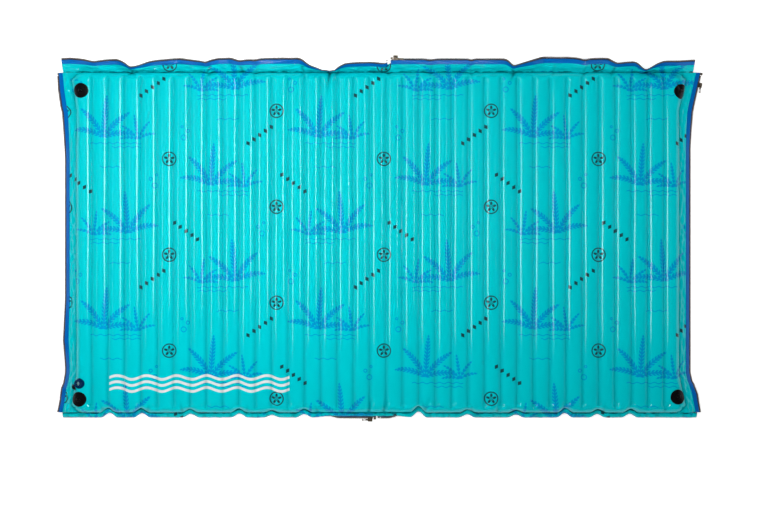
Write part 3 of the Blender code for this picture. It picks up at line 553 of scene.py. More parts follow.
@dataclass(frozen=True)
class PrintedFinish(VinylFinish):
    """The films' vinyl, with the print, the weld lines darkened partly with painted shade, and painted
    shade in the folds.
    """

    # The last ink lays the weld lines, which are partly painted shade along the seam's groove and in
    # the valleys.
    inks: tuple[tuple[str, float, Colour], ...] = (
        ("Blue", 0.92, (0.0, 0.3, 0.66, 1)), ("Dark", 0.92, (0.012, 0.016, 0.022, 1)),
        ("Pale", 0.96, (0.8, 0.84, 0.84, 1)), ("Weld", 1.0, (0.0, 0.07, 0.09, 1)),
    )
    # The colour that painted shade darkens the film towards, and how far it goes.
    shade: Colour = (0.0, 0.07, 0.09, 1)
    fold_shade: float = 0.75

    def paint(self, base: Term) -> Term:
        """Lay the print over the film, by the cut that is the piece's UV map, and darken the film with
        the painted shade of its fold attribute.

        Args:
            base: The film's colour.

        Returns:
            The printed film's colour.
        """
        cut = read(base.tree, "ShaderNodeUVMap", 0, uv_map="cut")
        group = bpy.data.node_groups["mat_print"]
        masks = add_node(base.tree, "ShaderNodeGroup", {}, node_tree=group)
        feed(masks, {"Cut": cut})
        for mask, cover, ink in self.inks:
            base = mix(Term(masks.outputs[mask]) * cover, base, ink)
        # Painted shade: the fold attribute darkens the film in creases, folds and recesses, where
        # shadow falls.
        painted_fold_shade = read(base.tree, "ShaderNodeAttribute", "Fac", attribute_name="painted_fold_shade")
        return mix(painted_fold_shade * painted_fold_shade * self.fold_shade, base, self.shade)


@dataclass(frozen=True)
class WovenFinish:
    """The zip's woven tape."""

    colour: Colour
    pitch: float = 0.0009
    roughness: float = 0.85
    sheen: float = 0.2

    def material(self, name: str) -> bpy.types.Material:
        """Make the tape's material.

        Args:
            name: The material's name.

        Returns:
            The material.
        """
        material, shader = new_material(name)
        cut = read(material.node_tree, "ShaderNodeUVMap", 0, uv_map="cut")
        warp, weft = (calc("SINE", way * (2 * math.pi / self.pitch)) for way in split(cut)[:2])
        weave = warp * weft * 0.5 + 0.5
        feed(shader, {
            "Base Color": mix(weave, darker(self.colour, 0.45), self.colour),
            "Normal": bumped(weave, 0.5, 0.0003), "Roughness": self.roughness,
            "Sheen Weight": self.sheen,
        })
        return material


@dataclass(frozen=True)
class MetalFinish:
    """Worn metal or hard moulding, paler where it has rubbed."""

    colour: Colour
    worn: Colour
    metallic: float
    roughness: float = 0.35

    def material(self, name: str) -> bpy.types.Material:
        """Make the material.

        Args:
            name: The material's name.

        Returns:
            The material.
        """
        material, shader = new_material(name)
        place = read(material.node_tree, "ShaderNodeTexCoord", "Object")
        patina = noise(place, 420.0, 4.0)
        rubbed = calc("MULTIPLY_ADD", patina, 3.0, -1.1, clamp=True)
        feed(shader, {
            "Base Color": mix(rubbed, self.colour, self.worn), "Metallic": self.metallic,
            "Roughness": patina * 0.25 + (self.roughness - 0.1),
            "Normal": bumped(noise(place, 1500.0), 0.15, 0.0002),
        })
        return material


class Finishes:
    """Every material of the mat, and the making of pieces that wear them."""

    def __init__(self) -> None:
        """Build the shared groups, then the materials."""
        PrintPattern().build()
        build_grain()
        self.under_film = VinylFinish(colour=(0.0, 0.6, 0.66, 1)).material("under_film")
        self.web = VinylFinish(colour=(0.35, 0.75, 0.78, 1), roughness=0.3).material("web_film")
        self.by_slot = {
            Slot.FILM: PrintedFinish(
                colour=(0.0, 0.645, 0.71, 1), roughness=0.07, uneven=0.01, crease=0.3, bump=0.015,
            ).material("printed_film"),
            Slot.BAND: VinylFinish(
                colour=(0.0, 0.145, 0.54, 1), roughness=0.13, crease=1.2, bump=0.7,
                crease_scale=42.0,
            ).material("edge_band"),
            Slot.PATCH: VinylFinish(
                colour=(0.004, 0.004, 0.005, 1), roughness=0.34, fine_scale=600.0, bump=0.1,
                specular=0.14,
            ).material("black_vinyl"),
            Slot.VALVE: VinylFinish(
                colour=(0.0, 0.026, 0.1, 1), roughness=0.15, fine_scale=500.0, bump=0.06, coat=0.4,
            ).material("valve_vinyl"),
            Slot.CLEAR_FILM: VinylFinish(
                colour=(0.3, 0.62, 0.66, 1), roughness=0.2,
            ).material("flap_film"),
            Slot.TAPE: WovenFinish(colour=(0.035, 0.035, 0.04, 1)).material("zip_tape"),
            Slot.CHAIN: MetalFinish(
                colour=(0.15, 0.11, 0.085, 1), worn=(0.32, 0.26, 0.21, 1), metallic=0.35,
                roughness=0.42,
            ).material("zip_chain"),
            Slot.METAL: MetalFinish(
                colour=(0.16, 0.12, 0.09, 1), worn=(0.5, 0.41, 0.3, 1), metallic=0.9,
            ).material("zip_metal"),
        }

    def piece(
        self, name: str, net: Net, slot: Slot, *nodes: str, body: str = "mat",
        crisp: float = 180.0, wall: float = 0.0,
    ) -> Piece:
        """Turn a net into a piece that rides on a body.

        Args:
            name: The piece's name.
            net: Its net, which is used up.
            slot: The record's slot for it, which says its material.
            nodes: The CAD nodes that it stands for.
            body: The body that it rides on.
            crisp: The angle in degrees from which an edge is shaded sharp.
            wall: The thickness that an open sheet gets, half on each side.

        Returns:
            The piece.
        """
        mesh = bpy.data.meshes.new(name)
        net.to_mesh(mesh)
        net.free()
        mesh.materials.append(self.by_slot[slot])
        mesh.shade_smooth()
        if crisp < 180:
            mesh.set_sharp_from_angle(angle=math.radians(crisp))
        piece = bpy.data.objects.new(name, mesh)
        bpy.context.scene.collection.objects.link(piece)
        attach(piece, body)
        if nodes:
            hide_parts(*nodes)
        if wall:
            solid = piece.modifiers.new("wall", "SOLIDIFY")
            solid.thickness, solid.offset = wall, 0
        LOG.info("%s: %d faces on %s", name, len(mesh.polygons), body)
        return piece


def sheet_net(points: Arr, cut: Arr, shade: Arr | None = None) -> Net:
    """Make a grid of cells and lay it over given points.

    Args:
        points: Where each corner lies, by column and line.
        cut: Each corner's place on the flat cut.
        shade: How deep each corner lies in painted shade.

    Returns:
        The net, with the flat cut as its UV map.
    """
    columns, lines = points.shape[0] - 1, points.shape[1] - 1
    net = bmesh.new()
    bmesh.ops.create_grid(net, x_segments=columns, y_segments=lines, size=1)
    layer = net.loops.layers.uv.new("cut")
    # The fold layer holds painted shade for the film's material.
    painted_fold_shade = net.verts.layers.float.new("painted_fold_shade")
    places = {}
    for corner in net.verts:
        x, y, _ = (corner.co + Vector((1, 1, 1))) / 2
        spot = places[corner] = (round(x * columns), round(y * lines))
        corner.co = points[spot]
        if shade is not None:
            corner[painted_fold_shade] = shade[spot]
    for face in net.faces:
        for loop in face.loops:
            loop[layer].uv = cut[places[loop.vert]]
    return net


def merge_nets(nets: list[Net], place: Matrix = Matrix.Identity(4)) -> Net:
    """Put several nets together and move them to their place.

    Args:
        nets: The nets, which are used up.
        place: Where they go.

    Returns:
        One net.
    """
    whole = bmesh.new()
    for net in nets:
        mesh = bpy.data.meshes.new("part")
        net.to_mesh(mesh)
        net.free()
        whole.from_mesh(mesh)
        bpy.data.meshes.remove(mesh)
    bmesh.ops.transform(whole, matrix=place, verts=whole.verts)
    return whole


def ease(net: Net, width: float, sharp: float = 30.0) -> Net:
    """Bevel a net's sharp edges.

    Args:
        net: The net.
        width: How wide the eased edges are.
        sharp: The angle in degrees from which an edge is sharp.

    Returns:
        The same net.
    """
    edges = [
        edge for edge in net.edges
        if len(edge.link_faces) == 2 and edge.calc_face_angle(0) > math.radians(sharp)
    ]
    bmesh.ops.bevel(
        net, geom=edges, affect="EDGES", offset=width, segments=2, profile=0.5, material=-1,
        clamp_overlap=True,
    )
    return net


def spun_net(outline: list[Pair], steps: int) -> Net:
    """Spin an outline about Z, from the axis back to it or as a closed ring.

    Args:
        outline: Points of (radius, height).
        steps: How many steps there are round it.

    Returns:
        The turned net.
    """
    net = bmesh.new()
    corners = [net.verts.new((radius, 0, height)) for radius, height in outline]
    for first, second in zip(corners, corners[1:]):
        net.edges.new((first, second))
    if outline[0][0] > 0:
        net.edges.new((corners[-1], corners[0]))
    bmesh.ops.spin(
        net, geom=net.verts[:] + net.edges[:], cent=(0, 0, 0), axis=(0, 0, 1),
        angle=2 * math.pi, steps=steps, use_merge=True,
    )
    bmesh.ops.remove_doubles(net, verts=net.verts, dist=0.00001)
    bmesh.ops.recalc_face_normals(net, faces=net.faces)
    return net


def box_net(low: Point, high: Point, width: float) -> Net:
    """A box between two corners, with eased edges.

    Args:
        low: Its lowest corner.
        high: Its highest corner.
        width: How wide the eased edges are.

    Returns:
        The box's net.
    """
    net = bmesh.new()
    size, middle = Vector(high) - Vector(low), (Vector(high) + Vector(low)) / 2
    place = Matrix.Translation(middle) @ Matrix.Diagonal((*size, 1))
    bmesh.ops.create_cube(net, size=1, matrix=place)
    return ease(net, width)


def frame_at(spot: Vector, up: Vector, way: Vector) -> Matrix:
    """A frame whose Z is up and whose X is as near a way as it can be."""
    way = (way - way.dot(up) * up).normalized()
    return Matrix.Translation(spot) @ Matrix((way, up.cross(way), up)).transposed().to_4x4()


def corners_of(piece: Piece) -> Arr:
    """Where a piece's corners are.

    Args:
        piece: The piece.

    Returns:
        A row for each corner.
    """
    places = np.empty(len(piece.data.vertices) * 3)
    piece.data.vertices.foreach_get("co", places)
    return places.reshape(-1, 3)


def smooth_step(share: Arr) -> Arr:
    """Ease shares between 0 and 1, holding what lies outside."""
    held = np.clip(share, 0, 1)
    return held * held * (3 - 2 * held)


def bell(off: Arr, width: float) -> Arr:
    """A soft peak of 1 that falls off to both sides."""
    return np.exp(-((off / width) ** 2))


@dataclass(frozen=True)
class FrontView:
    """Turns places in the front view, in its pixels, into metres on the mat."""

    centre_px: Pair = (377.75, 242.6)
    half_px: Pair = (301.35, 170.3)
    skirt_px: float = 15.65
    half_length: float = 1.2765
    half_width: float = 0.7215

    def x(self, px: float) -> float:
        """The X of a column."""
        return (px - self.centre_px[0]) / self.half_px[0] * self.half_length

    def y(self, py: float) -> float:
        """The Y of a row."""
        return (self.centre_px[1] - py) / self.half_px[1] * self.half_width


VIEW = FrontView()


@dataclass
class AirPad:
    """The inflated body: two ribbed films, welded round the edge and pinched at their ends."""

    finishes: Finishes
    tubes: int = 37
    pitch: float = 0.069
    half_width: float = 0.7215
    mid_z: float = 0.0375
    upper_rise: float = 0.0375
    lower_rise: float = 0.038
    flat_rise: float = 0.0375
    least_rise: float = 0.0004
    sag: float = 0.0006
    wander: float = 0.0016
    valley: float = 0.013
    end_round: float = 0.036
    rib_start: float = 0.006
    rib_full: float = 0.05
    dimple: float = 0.0045
    ripple: float = 0.0011
    corner: float = 0.062
    flare_left: float = 0.027
    flare_right: float = 0.038
    flare_length: float = 0.168
    pucker_depth: float = 0.026
    pucker_reach: float = 0.52
    columns: int = 15
    fine_line: float = 0.0042
    fine_reach: float = 0.075
    coarse_line: float = 0.03
    crisp: float = 32.0
    seam_sway: float = 0.0045
    # Painted shade: the crease depth that gives full shade, and where the steep edge walls start and
    # fade into shade, and how dark.
    fold_depth: float = 0.01
    wall_shade_top: float = 0.74
    wall_shade_fade: float = 0.3
    wall_shade: float = 0.8
    well_px: float = 382.8
    tucks_px: tuple[float, ...] = (132, 208, 256, 330, 388, 430, 471, 512, 583, 610, 642)
    # How far the bottom edge draws in at a seam, by the number of tubes before it.
    puckers: dict[int, float] = field(default_factory=lambda: {
        2: 0.75, 4: 0.7, 7: 0.6, 10: 0.65, 12: 0.4, 14: 0.6, 21: 1, 24: 0.5, 27: 0.45, 30: 0.7,
        32: 0.55, 34: 0.6,
    })
    # Where each crease starts and ends in the front view, its width there, and its depth in metres.
    creases: tuple[tuple[float, float, float, float, float, float], ...] = (
        (132, 73, 127, 79, 1.8, 0.008), (133, 73, 138, 80, 1.6, 0.007),
        (212, 73, 204, 80, 1.7, 0.009), (303, 73, 307, 82, 1.7, 0.008),
        (330, 74, 327, 96, 2.0, 0.012), (337, 74, 333, 86, 1.7, 0.009),
        (388, 73, 390, 80, 1.6, 0.007), (431, 73, 430, 79, 1.4, 0.006),
        (514, 73, 509, 86, 1.9, 0.011), (584, 73, 581, 80, 1.7, 0.010),
        (612, 73, 609, 80, 1.6, 0.008), (646, 73, 650, 80, 1.8, 0.010),
        (256, 73, 253, 79, 1.5, 0.006), (471, 73, 473, 79, 1.4, 0.005),
        (553, 73, 551, 80, 1.5, 0.006), (78, 84, 92, 76, 2.6, 0.004),
        (73, 96, 84, 106, 2.6, 0.004), (676, 77, 664, 73, 2.4, 0.006),
        (684, 104, 672, 112, 2.6, 0.005), (76, 130, 84, 138, 2.4, 0.003),
        (681, 392, 668, 384, 2.6, 0.005), (74, 372, 86, 366, 2.4, 0.004),
        (664, 410, 670, 398, 2.2, 0.007), (105, 411, 100, 398, 2.2, 0.007),
        (148, 411, 151, 400, 2.0, 0.007), (183, 411, 181, 398, 2.0, 0.008),
        (369, 411, 371, 397, 1.8, 0.010), (384, 411, 386, 396, 1.8, 0.009),
        (425, 409, 421, 397, 1.9, 0.008), (425, 409, 430, 396, 1.8, 0.007),
        (247, 411, 249, 401, 1.8, 0.006), (318, 411, 314, 400, 1.8, 0.007),
        (497, 411, 499, 399, 1.9, 0.008), (472, 411, 470, 400, 1.7, 0.006),
        (564, 411, 562, 399, 1.9, 0.007), (602, 411, 605, 400, 1.8, 0.006),
        (682, 110, 682, 260, 1.6, 0.009), (682, 385, 682, 230, 1.6, 0.009),
        (650, 74, 676, 84, 2.0, 0.009), (676, 84, 684, 100, 1.8, 0.008),
    )

    @property
    def half_length(self) -> float:
        """Half the length between the short sides' seams."""
        return self.tubes * self.pitch / 2

    def pucker(self, tube: Arr) -> Arr:
        """How far the bottom edge draws in, by places counted in tubes."""
        away = np.stack([np.abs(tube - seam) / self.pucker_reach for seam in self.puckers], -1)
        return self.pucker_depth * (list(self.puckers.values()) * (1 - smooth_step(away))).max(-1)

    def sway(self, x: Arr) -> Arr:
        """How far the top edge's seam dips at its tucks.

        Args:
            x: Places along the mat.

        Returns:
            The distances.
        """
        dip = 0.22 * np.sin(x * 47) * np.sin(x * 13 + 1)
        for number, px in enumerate(self.tucks_px):
            tuck = bell(x - VIEW.x(px), 0.011 + 0.004 * (number % 3))
            dip = np.maximum(dip, (1 - 0.2 * (number % 2)) * tuck)
        return self.seam_sway * dip * smooth_step((self.half_length - self.corner - np.abs(x)) / 0.05)

    def widest(self, side: Arr | float) -> Arr:
        """How far a short side swings out at its ends: the left for -1, the right for 1."""
        return np.where(np.asarray(side) < 0, self.flare_left, self.flare_right)

    def flare(self, inset: Arr, side: Arr | float) -> Arr:
        """How far a short side's seam swings out, by distances in from the long sides' seams."""
        return self.widest(side) * np.maximum(0, 1 - inset / self.flare_length)

    def heights(self, tube: Arr, inset: Arr, rise: float) -> Arr:
        """How far a film stands off the seam's plane.

        Args:
            tube: Places along the mat, counted in tubes.
            inset: Distances in from the long sides' seams.
            rise: The film's full rise.

        Returns:
            The heights.
        """
        near = np.minimum(tube, self.tubes - tube)
        side = 1 - np.clip(near / 0.5, 0, 1)
        end = 1 - np.clip(inset / self.end_round, 0, 1)
        edge = np.clip((side**4 + end**4) ** 0.25, 0, 1)
        share = tube - np.floor(np.clip(tube, 0, self.tubes - 1e-6))
        radius = ((self.pitch / 2) ** 2 + self.valley**2) / (2 * self.valley)
        arch = radius - np.sqrt(radius**2 - (np.abs(share - 0.5) * self.pitch) ** 2)
        fade = smooth_step((inset - self.rib_start) / (self.rib_full - self.rib_start))
        seam = np.minimum(share, 1 - share)
        dimple = self.dimple * bell(inset - 0.034, 0.014) * bell(seam, 0.13)
        ripple = self.ripple * np.sin(tube * 4 * math.pi + 1.7 * np.sin(tube * 1.3)) * (1 - fade)
        full = np.sqrt(1 - edge**2)
        ribs = np.where(near < 0.5, 0, arch * fade + dimple)
        return rise * full - ribs + ripple * smooth_step(inset / 0.012) * full

    def crease(self, x: Arr, y: Arr) -> Arr:
        """How deep the pulled creases near the edge are.

        Args:
            x: Places' X.
            y: Places' Y.

        Returns:
            The depths.
        """
        depth = np.zeros_like(x)
        for x0, y0, x1, y1, width_px, deep in self.creases:
            start = np.array([VIEW.x(x0), VIEW.y(y0)])
            way = np.array([VIEW.x(x1), VIEW.y(y1)]) - start
            along = ((x - start[0]) * way[0] + (y - start[1]) * way[1]) / (way @ way)
            held = np.clip(along, 0, 1)
            away = np.hypot(x - start[0] - held * way[0], y - start[1] - held * way[1])
            width = width_px / VIEW.half_px[0] * VIEW.half_length
            depth = np.maximum(depth, deep * (1 - 0.85 * held) * bell(away, width))
        return depth

    def grid(self) -> tuple[Arr, Arr]:
        """Set out the films' cells, finer near the long sides and round the valve's well.

        Returns:
            The columns, in tubes, and the lines, as Y.
        """
        tube = np.linspace(0, self.tubes, self.tubes * self.columns + 1)
        last = self.half_width - self.coarse_line / 2
        inset = np.concatenate([
            np.arange(0, self.fine_reach, self.fine_line),
            np.arange(self.fine_reach, last, self.coarse_line),
        ])
        well = VIEW.y(self.well_px) + np.arange(-4, 5) * self.fine_line
        lines = np.concatenate([inset - self.half_width, [0], self.half_width - inset, well])
        return np.meshgrid(tube, np.unique(lines), indexing="ij")

    def film(self, up: int) -> Net:
        """Make a film.

        Args:
            up: 1 for the upper film and -1 for the lower one.

        Returns:
            The film's net.
        """
        tube, y = self.grid()
        inset = self.half_width - np.abs(y)
        middle = (tube - self.tubes / 2) * self.pitch
        wander = self.wander * np.sin(2.1 * tube + 3.1 * y) * np.sin(5.3 * y + 0.7 * tube)
        near = np.minimum(tube, self.tubes - tube)
        side = np.where(tube < self.tubes / 2, -1, 1)
        x = middle + wander * smooth_step(near) * smooth_step(inset / 0.1)
        x = x + side * np.clip(1 - near, 0, 1) * self.flare(inset, side)
        cut = np.stack([x, y], axis=-1)
        draw = np.where(y < 0, self.pucker(tube), -self.sway(middle))
        x, y = self.round_corners(x, y + draw * (1 - smooth_step(inset / 0.05)), side)
        height = self.heights(tube, inset, self.upper_rise if up > 0 else self.lower_rise)
        if up > 0:
            height = height - self.crease(x, y) * smooth_step(height / 0.012)
            height += self.sag * np.sin(tube * 2 * math.pi / 1.7) * smooth_step(inset / 0.1)
        height = np.minimum(height, self.upper_rise + self.sag if up > 0 else self.flat_rise)
        edge = (near < 1e-6) | (inset < 1e-6)
        height = np.where(edge, 0, np.maximum(height, self.least_rise))
        return sheet_net(np.stack([x, y, self.mid_z + up * height], axis=-1), cut)

    def round_corners(self, x: Arr, y: Arr, side: Arr) -> tuple[Arr, Arr]:
        """Draw the seam's four corners in to their radius.

        Args:
            x: Places' X.
            y: Places' Y.
            side: -1 or 1 for the half of the mat that each place is in.

        Returns:
            The moved X and Y.
        """
        flare = self.widest(side)
        centre_x, centre_y = self.half_length + flare - self.corner, self.half_width - self.corner
        over_x, over_y = (np.abs(x) - centre_x) / self.corner, (np.abs(y) - centre_y) / self.corner
        widest = 1 - flare / self.flare_length * (1 - np.clip(over_y, 0, 1))
        share = np.maximum(over_x / widest, over_y)
        inside = (over_x > 0) & (over_y > 0)
        draw = np.minimum(1, share / np.maximum(np.hypot(over_x, over_y), 1e-9)) * self.corner
        return (
            np.where(inside, side * (centre_x + over_x * draw), x),
            np.where(inside, np.sign(y) * (centre_y + over_y * draw), y),
        )

    def build(self) -> Piece:
        """Build the pad as one closed body, the upper film printed, with painted shade in its creases
        and on its steep edge walls.

        Returns:
            The pad.
        """
        upper, under = self.film(1), self.film(-1)
        for face in under.faces:
            face.material_index = 1
        bmesh.ops.reverse_faces(under, faces=under.faces)
        net = merge_nets([upper, under])
        rim = [corner for corner in net.verts if corner.is_boundary]
        bmesh.ops.remove_doubles(net, verts=rim, dist=0.00002)
        pad = self.finishes.piece(
            "air_pad", net, Slot.FILM, "upper_film", "lower_film", crisp=self.crisp
        )
        pad.data.materials.append(self.finishes.under_film)
        # Painted shade: the fold attribute darkens the upper film in the creases and on the steep
        # walls at its edge, where shadow falls.
        x, y, z = corners_of(pad).T
        wall = smooth_step((self.wall_shade_top - (z - self.mid_z) / self.upper_rise) / self.wall_shade_fade)
        patchy = 0.8 + 0.2 * np.sin(x * 37 + y * 23) * np.sin(x * 11)
        painted_fold_shade = np.maximum(self.crease(x, y) / self.fold_depth, self.wall_shade * wall * patchy)
        painted_fold_shade = np.where(z > self.mid_z, np.clip(painted_fold_shade, 0, 1), 0)
        pad.data.attributes["painted_fold_shade"].data.foreach_set("value", painted_fold_shade)
        return pad


@dataclass
class Skirt:
    """One side's skirt outside the seam, as a surface from which every layer is lifted."""

    side: Side
    pad: AirPad
    seam_lap: float = 0.0015
    width: float = 0.046
    wall: float = 0.0008
    band_start: float = 0.038
    edge_width: float = 0.0666
    chain_thickness: float = 0.0035
    floor_gap: float = 0.001
    crumple_rise: float = 0.0021
    crumple_painted_fold_shade: float = 0.0016
    fold_shade_width: float = 0.0085
    step: float = 0.006
    samples: int = 101
    top_px: tuple[Pair, ...] = (
        (63, 59.1), (72, 58.6), (84, 60), (96, 63), (106, 61), (117, 59.8), (123, 61.7), (129, 66),
        (135, 68.7), (142, 66.8), (151, 63), (161, 60.8), (180, 58.9), (193, 61), (206, 63),
        (211, 61), (219, 58.9), (231, 58.5), (240, 61.9), (258, 59.1), (281, 58.5), (284, 58.5),
        (296, 58.5), (299, 58.5), (304, 61.5), (309, 66.5), (319, 70.6), (329, 75.1),
        (333.5, 73.8), (339, 68.4), (346, 64.9), (358, 63.9), (372, 63.6), (384, 65), (387.5, 61),
        (389.2, 59.5), (498, 59.5), (503, 59.5), (507, 61), (512, 67), (518, 65.8), (532, 60.9),
        (543, 57), (563, 56.8), (586, 59.4), (607, 58.4), (611, 61), (614, 65), (625, 63.5),
        (634, 63), (639, 68.6), (644, 71.1), (648, 69.6), (654, 65.5), (662, 62.4), (677, 62.2),
        (693, 61.1),
    )
    left_px: tuple[Pair, ...] = (
        (72.3, 55.6), (90, 57.4), (107, 60), (120, 61.4), (150, 62.8), (180, 63.8), (210, 64.2),
        (250, 63.9), (300, 63), (340, 61.6), (365, 63), (375, 63.3), (382, 61.9), (389, 59.4),
        (401, 57.9), (412.9, 55.6),
    )
    right_px: tuple[Pair, ...] = (
        (72.3, 703), (105, 695.6), (112, 694.2), (120, 693.8), (130, 693.2), (150, 692.4),
        (180, 691.9), (260, 691.7), (298, 691.7), (370, 691.9), (379, 692.7), (384, 695.6),
        (394, 699), (403, 700.6), (412.9, 702.5),
    )
    # Painted shade lines at the top skirt's folds: each one's place in the front view, its lean across
    # the skirt in pixels, and how dark it is.
    fold_shade_px: tuple[Point, ...] = (
        (132, 6, 1.0), (137, -3, 0.7), (206, 10, 0.9), (244, -6, 0.9), (304, -3, 0.9),
        (329, 0, 1.0), (337, 4, 0.8), (388, -2, 0.8), (514, -5, 1.0), (583, 6, 0.6), (612, 4, 0.9),
        (646, -3, 1.0), (430, 3, 0.5), (256, 4, 0.5), (471, -3, 0.5), (553, 3, 0.5), (96, 4, 0.4),
    )
    tuck_turns: tuple[Pair, ...] = ((0, 0), (0.08, 0), (0.85, -180), (1, -180))
    kick_turns: tuple[Pair, ...] = (
        (0, 80), (0.15, 80), (0.41, -95), (0.7, -95), (0.85, -8), (1, -8),
    )
    blend_turns: tuple[Pair, ...] = ((0, 34), (0.2, 34), (0.36, 0), (1, 0))
    kick_px: tuple[float, float, float, float] = (303, 339, 389, 421)
    straight_px: float = 105

    @property
    def ends(self) -> Pair:
        """Where the skirt starts and ends along its side."""
        ends_px = {Side.TOP: (63, 693), Side.BOTTOM: (62.5, 697)}.get(self.side)
        return tuple(map(VIEW.x, ends_px)) if ends_px else (-self.pad.half_width, self.pad.half_width)

    def base(self, along: Arr) -> Arr:
        """How far out the seam lies.

        Args:
            along: Places along the side.

        Returns:
            The distances out from the mat's middle.
        """
        pad = self.pad
        if self.side is Side.TOP:
            return pad.half_width - pad.sway(along)
        if self.side is Side.BOTTOM:
            tube = np.clip(along / pad.pitch + pad.tubes / 2, 0, pad.tubes)
            return pad.half_width - pad.pucker(tube)
        return pad.half_length + pad.flare(pad.half_width - np.abs(along), self.side.out[0])

    def inner(self, along: Arr) -> Arr:
        """How far in from the side's line the rounded seam lies.

        Args:
            along: Places along the side.

        Returns:
            The distances.
        """
        if not self.side.out[0]:
            return np.zeros_like(along)
        pad = self.pad
        centre = pad.half_length + pad.widest(self.side.out[0]) - pad.corner
        over = np.clip(np.abs(along) - (pad.half_width - pad.corner), 0, pad.corner)
        rounded = centre + np.sqrt(np.maximum(pad.corner**2 - over**2, 0))
        return np.where(over > 0, np.maximum(self.base(along) - rounded, 0), 0)

    def turns(self, along: Arr) -> Arr:
        """The skirt's turn from level, in radians, across its width.

        Args:
            along: Places along the side.

        Returns:
            Turns by place and by sample across.
        """
        if self.side is Side.BOTTOM:
            across = np.linspace(0, 1, self.samples)
            tuck, kick, blend = (
                np.radians(np.interp(across, *zip(*turns)))
                for turns in (self.tuck_turns, self.kick_turns, self.blend_turns)
            )
            share = np.interp(along, [VIEW.x(px) for px in self.kick_px], (0, 1, 1, 0))[:, None]
            return tuck * (1 - share) + kick * share + blend * 4 * share * (1 - share)
        if self.side is Side.TOP:
            seam_px = VIEW.centre_px[1] - VIEW.half_px[1]
            rows = [(seam_px - py) / VIEW.skirt_px for _, py in self.top_px]
            reach = np.interp(along, [VIEW.x(px) for px, _ in self.top_px], rows)
            weights = np.array([1, 2, 3, 2, 1]) / 9
            reach = np.convolve(np.pad(reach, 2, mode="edge"), weights, mode="valid")
            turn = np.arccos(np.clip(reach, 0, 1))
            return np.repeat(turn[:, None], self.samples, axis=1)
        left, pad = self.side is Side.LEFT, self.pad
        edge_px = np.array(self.left_px if left else self.right_px)[::-1]
        rows = np.array([VIEW.y(py) for py in edge_px[:, 0]])
        swing = pad.flare(pad.half_width - np.abs(rows), self.side.out[0])
        out = np.abs(edge_px[:, 1] - VIEW.centre_px[0]) - VIEW.half_px[0]
        reach = (out - swing / VIEW.half_length * VIEW.half_px[0]) / VIEW.skirt_px
        if not left:
            reach[rows >= VIEW.y(self.straight_px) - 1e-5] = reach[-1]
        room = (pad.mid_z - self.chain_thickness / 2 - self.floor_gap) / self.edge_width
        turn = np.arccos(np.clip(np.interp(along, rows, reach), 0, 1))
        return np.repeat(-np.minimum(turn, math.asin(room))[:, None], self.samples, axis=1)

    def surface(self, along: Arr, shares: Arr, lift: Arr | float) -> Arr:
        """The points of a layer.

        Args:
            along: Places along the side.
            shares: Shares of the edge's width, out from the seam.
            lift: How far the layer stands off the skirt's middle surface.

        Returns:
            The points by place and by share.
        """
        turns = self.turns(along)
        middle = (turns[:, 1:] + turns[:, :-1]) / 2
        spots = np.clip(shares, 0, 1) * (self.samples - 1)
        low = np.minimum(spots.astype(int), self.samples - 2)
        part = spots - low
        sums = (np.pad(np.cumsum(way(middle), 1), ((0, 0), (1, 0))) for way in (np.cos, np.sin))
        step = self.edge_width / (self.samples - 1)
        away, height = (
            (total[:, low] * (1 - part) + total[:, low + 1] * part) * step for total in sums
        )
        first = shares <= 0
        away[:, first] = (-self.seam_lap - self.inner(along))[:, None]
        height[:, first] = 0
        reach = self.base(along)[:, None] + away
        flat = along[:, None, None] * self.side.along + reach[..., None] * self.side.out
        points = np.concatenate([flat, (self.pad.mid_z + height)[..., None]], axis=-1)
        normal = np.cross(np.gradient(points, axis=0), np.gradient(points, axis=1))
        length = np.maximum(np.linalg.norm(normal, axis=-1, keepdims=True), 1e-12)
        lift = np.broadcast_to(lift, points.shape[:2])[..., None]
        return points + normal * self.side.sign / length * lift

    def layer(self, along: Arr, shares: Arr, lift: Arr | float, shade: Arr | None = None) -> Net:
        """Make a layer's net, on a flat cut that goes on from the film's.

        Args:
            along: Places along the side.
            shares: Shares of the edge's width.
            lift: How far it stands off the skirt's middle surface.
            shade: How deep it lies in painted shade.

        Returns:
            The net.
        """
        half = self.pad.half_length if self.side.out[0] else self.pad.half_width
        reach = half + shares * self.edge_width
        cut = along[:, None, None] * self.side.along + reach[None, :, None] * self.side.out
        return sheet_net(self.surface(along, shares, lift), cut, shade)

    def crumple(self, a: Arr, s: Arr) -> Arr:
        """How far the loose film between the seam and the band bulges.

        Args:
            a: Places along the side, as a column.
            s: Shares of the edge's width, as a row.

        Returns:
            The bulges.
        """
        if self.side is Side.BOTTOM:
            tucked = smooth_step(s / 0.06) * smooth_step((0.48 - s) / 0.2)
            fine = np.sin(a * 89 + 5 * np.sin(a * 17))
            fine = fine + 0.7 * np.sin(a * 213 + 4 * np.sin(a * 31) + s * 9)
            return self.crumple_painted_fold_shade * fine * tucked
        waves = (
            np.sin(a * 61 + 7 * np.sin(a * 9)) * np.sin(s * 9 + a * 13)
            + 0.6 * np.sin(a * 127 + s * 14 + 3 * np.sin(a * 21))
            + 0.5 * np.sin(a * 33 - s * 21)
            + 0.9 * np.sin(a * 18 + 5 * np.sin(a * 5) + s * 4)
        )
        window = smooth_step(s / 0.1) * smooth_step((self.band_start / self.edge_width - s) / 0.12)
        return self.crumple_rise * waves * window

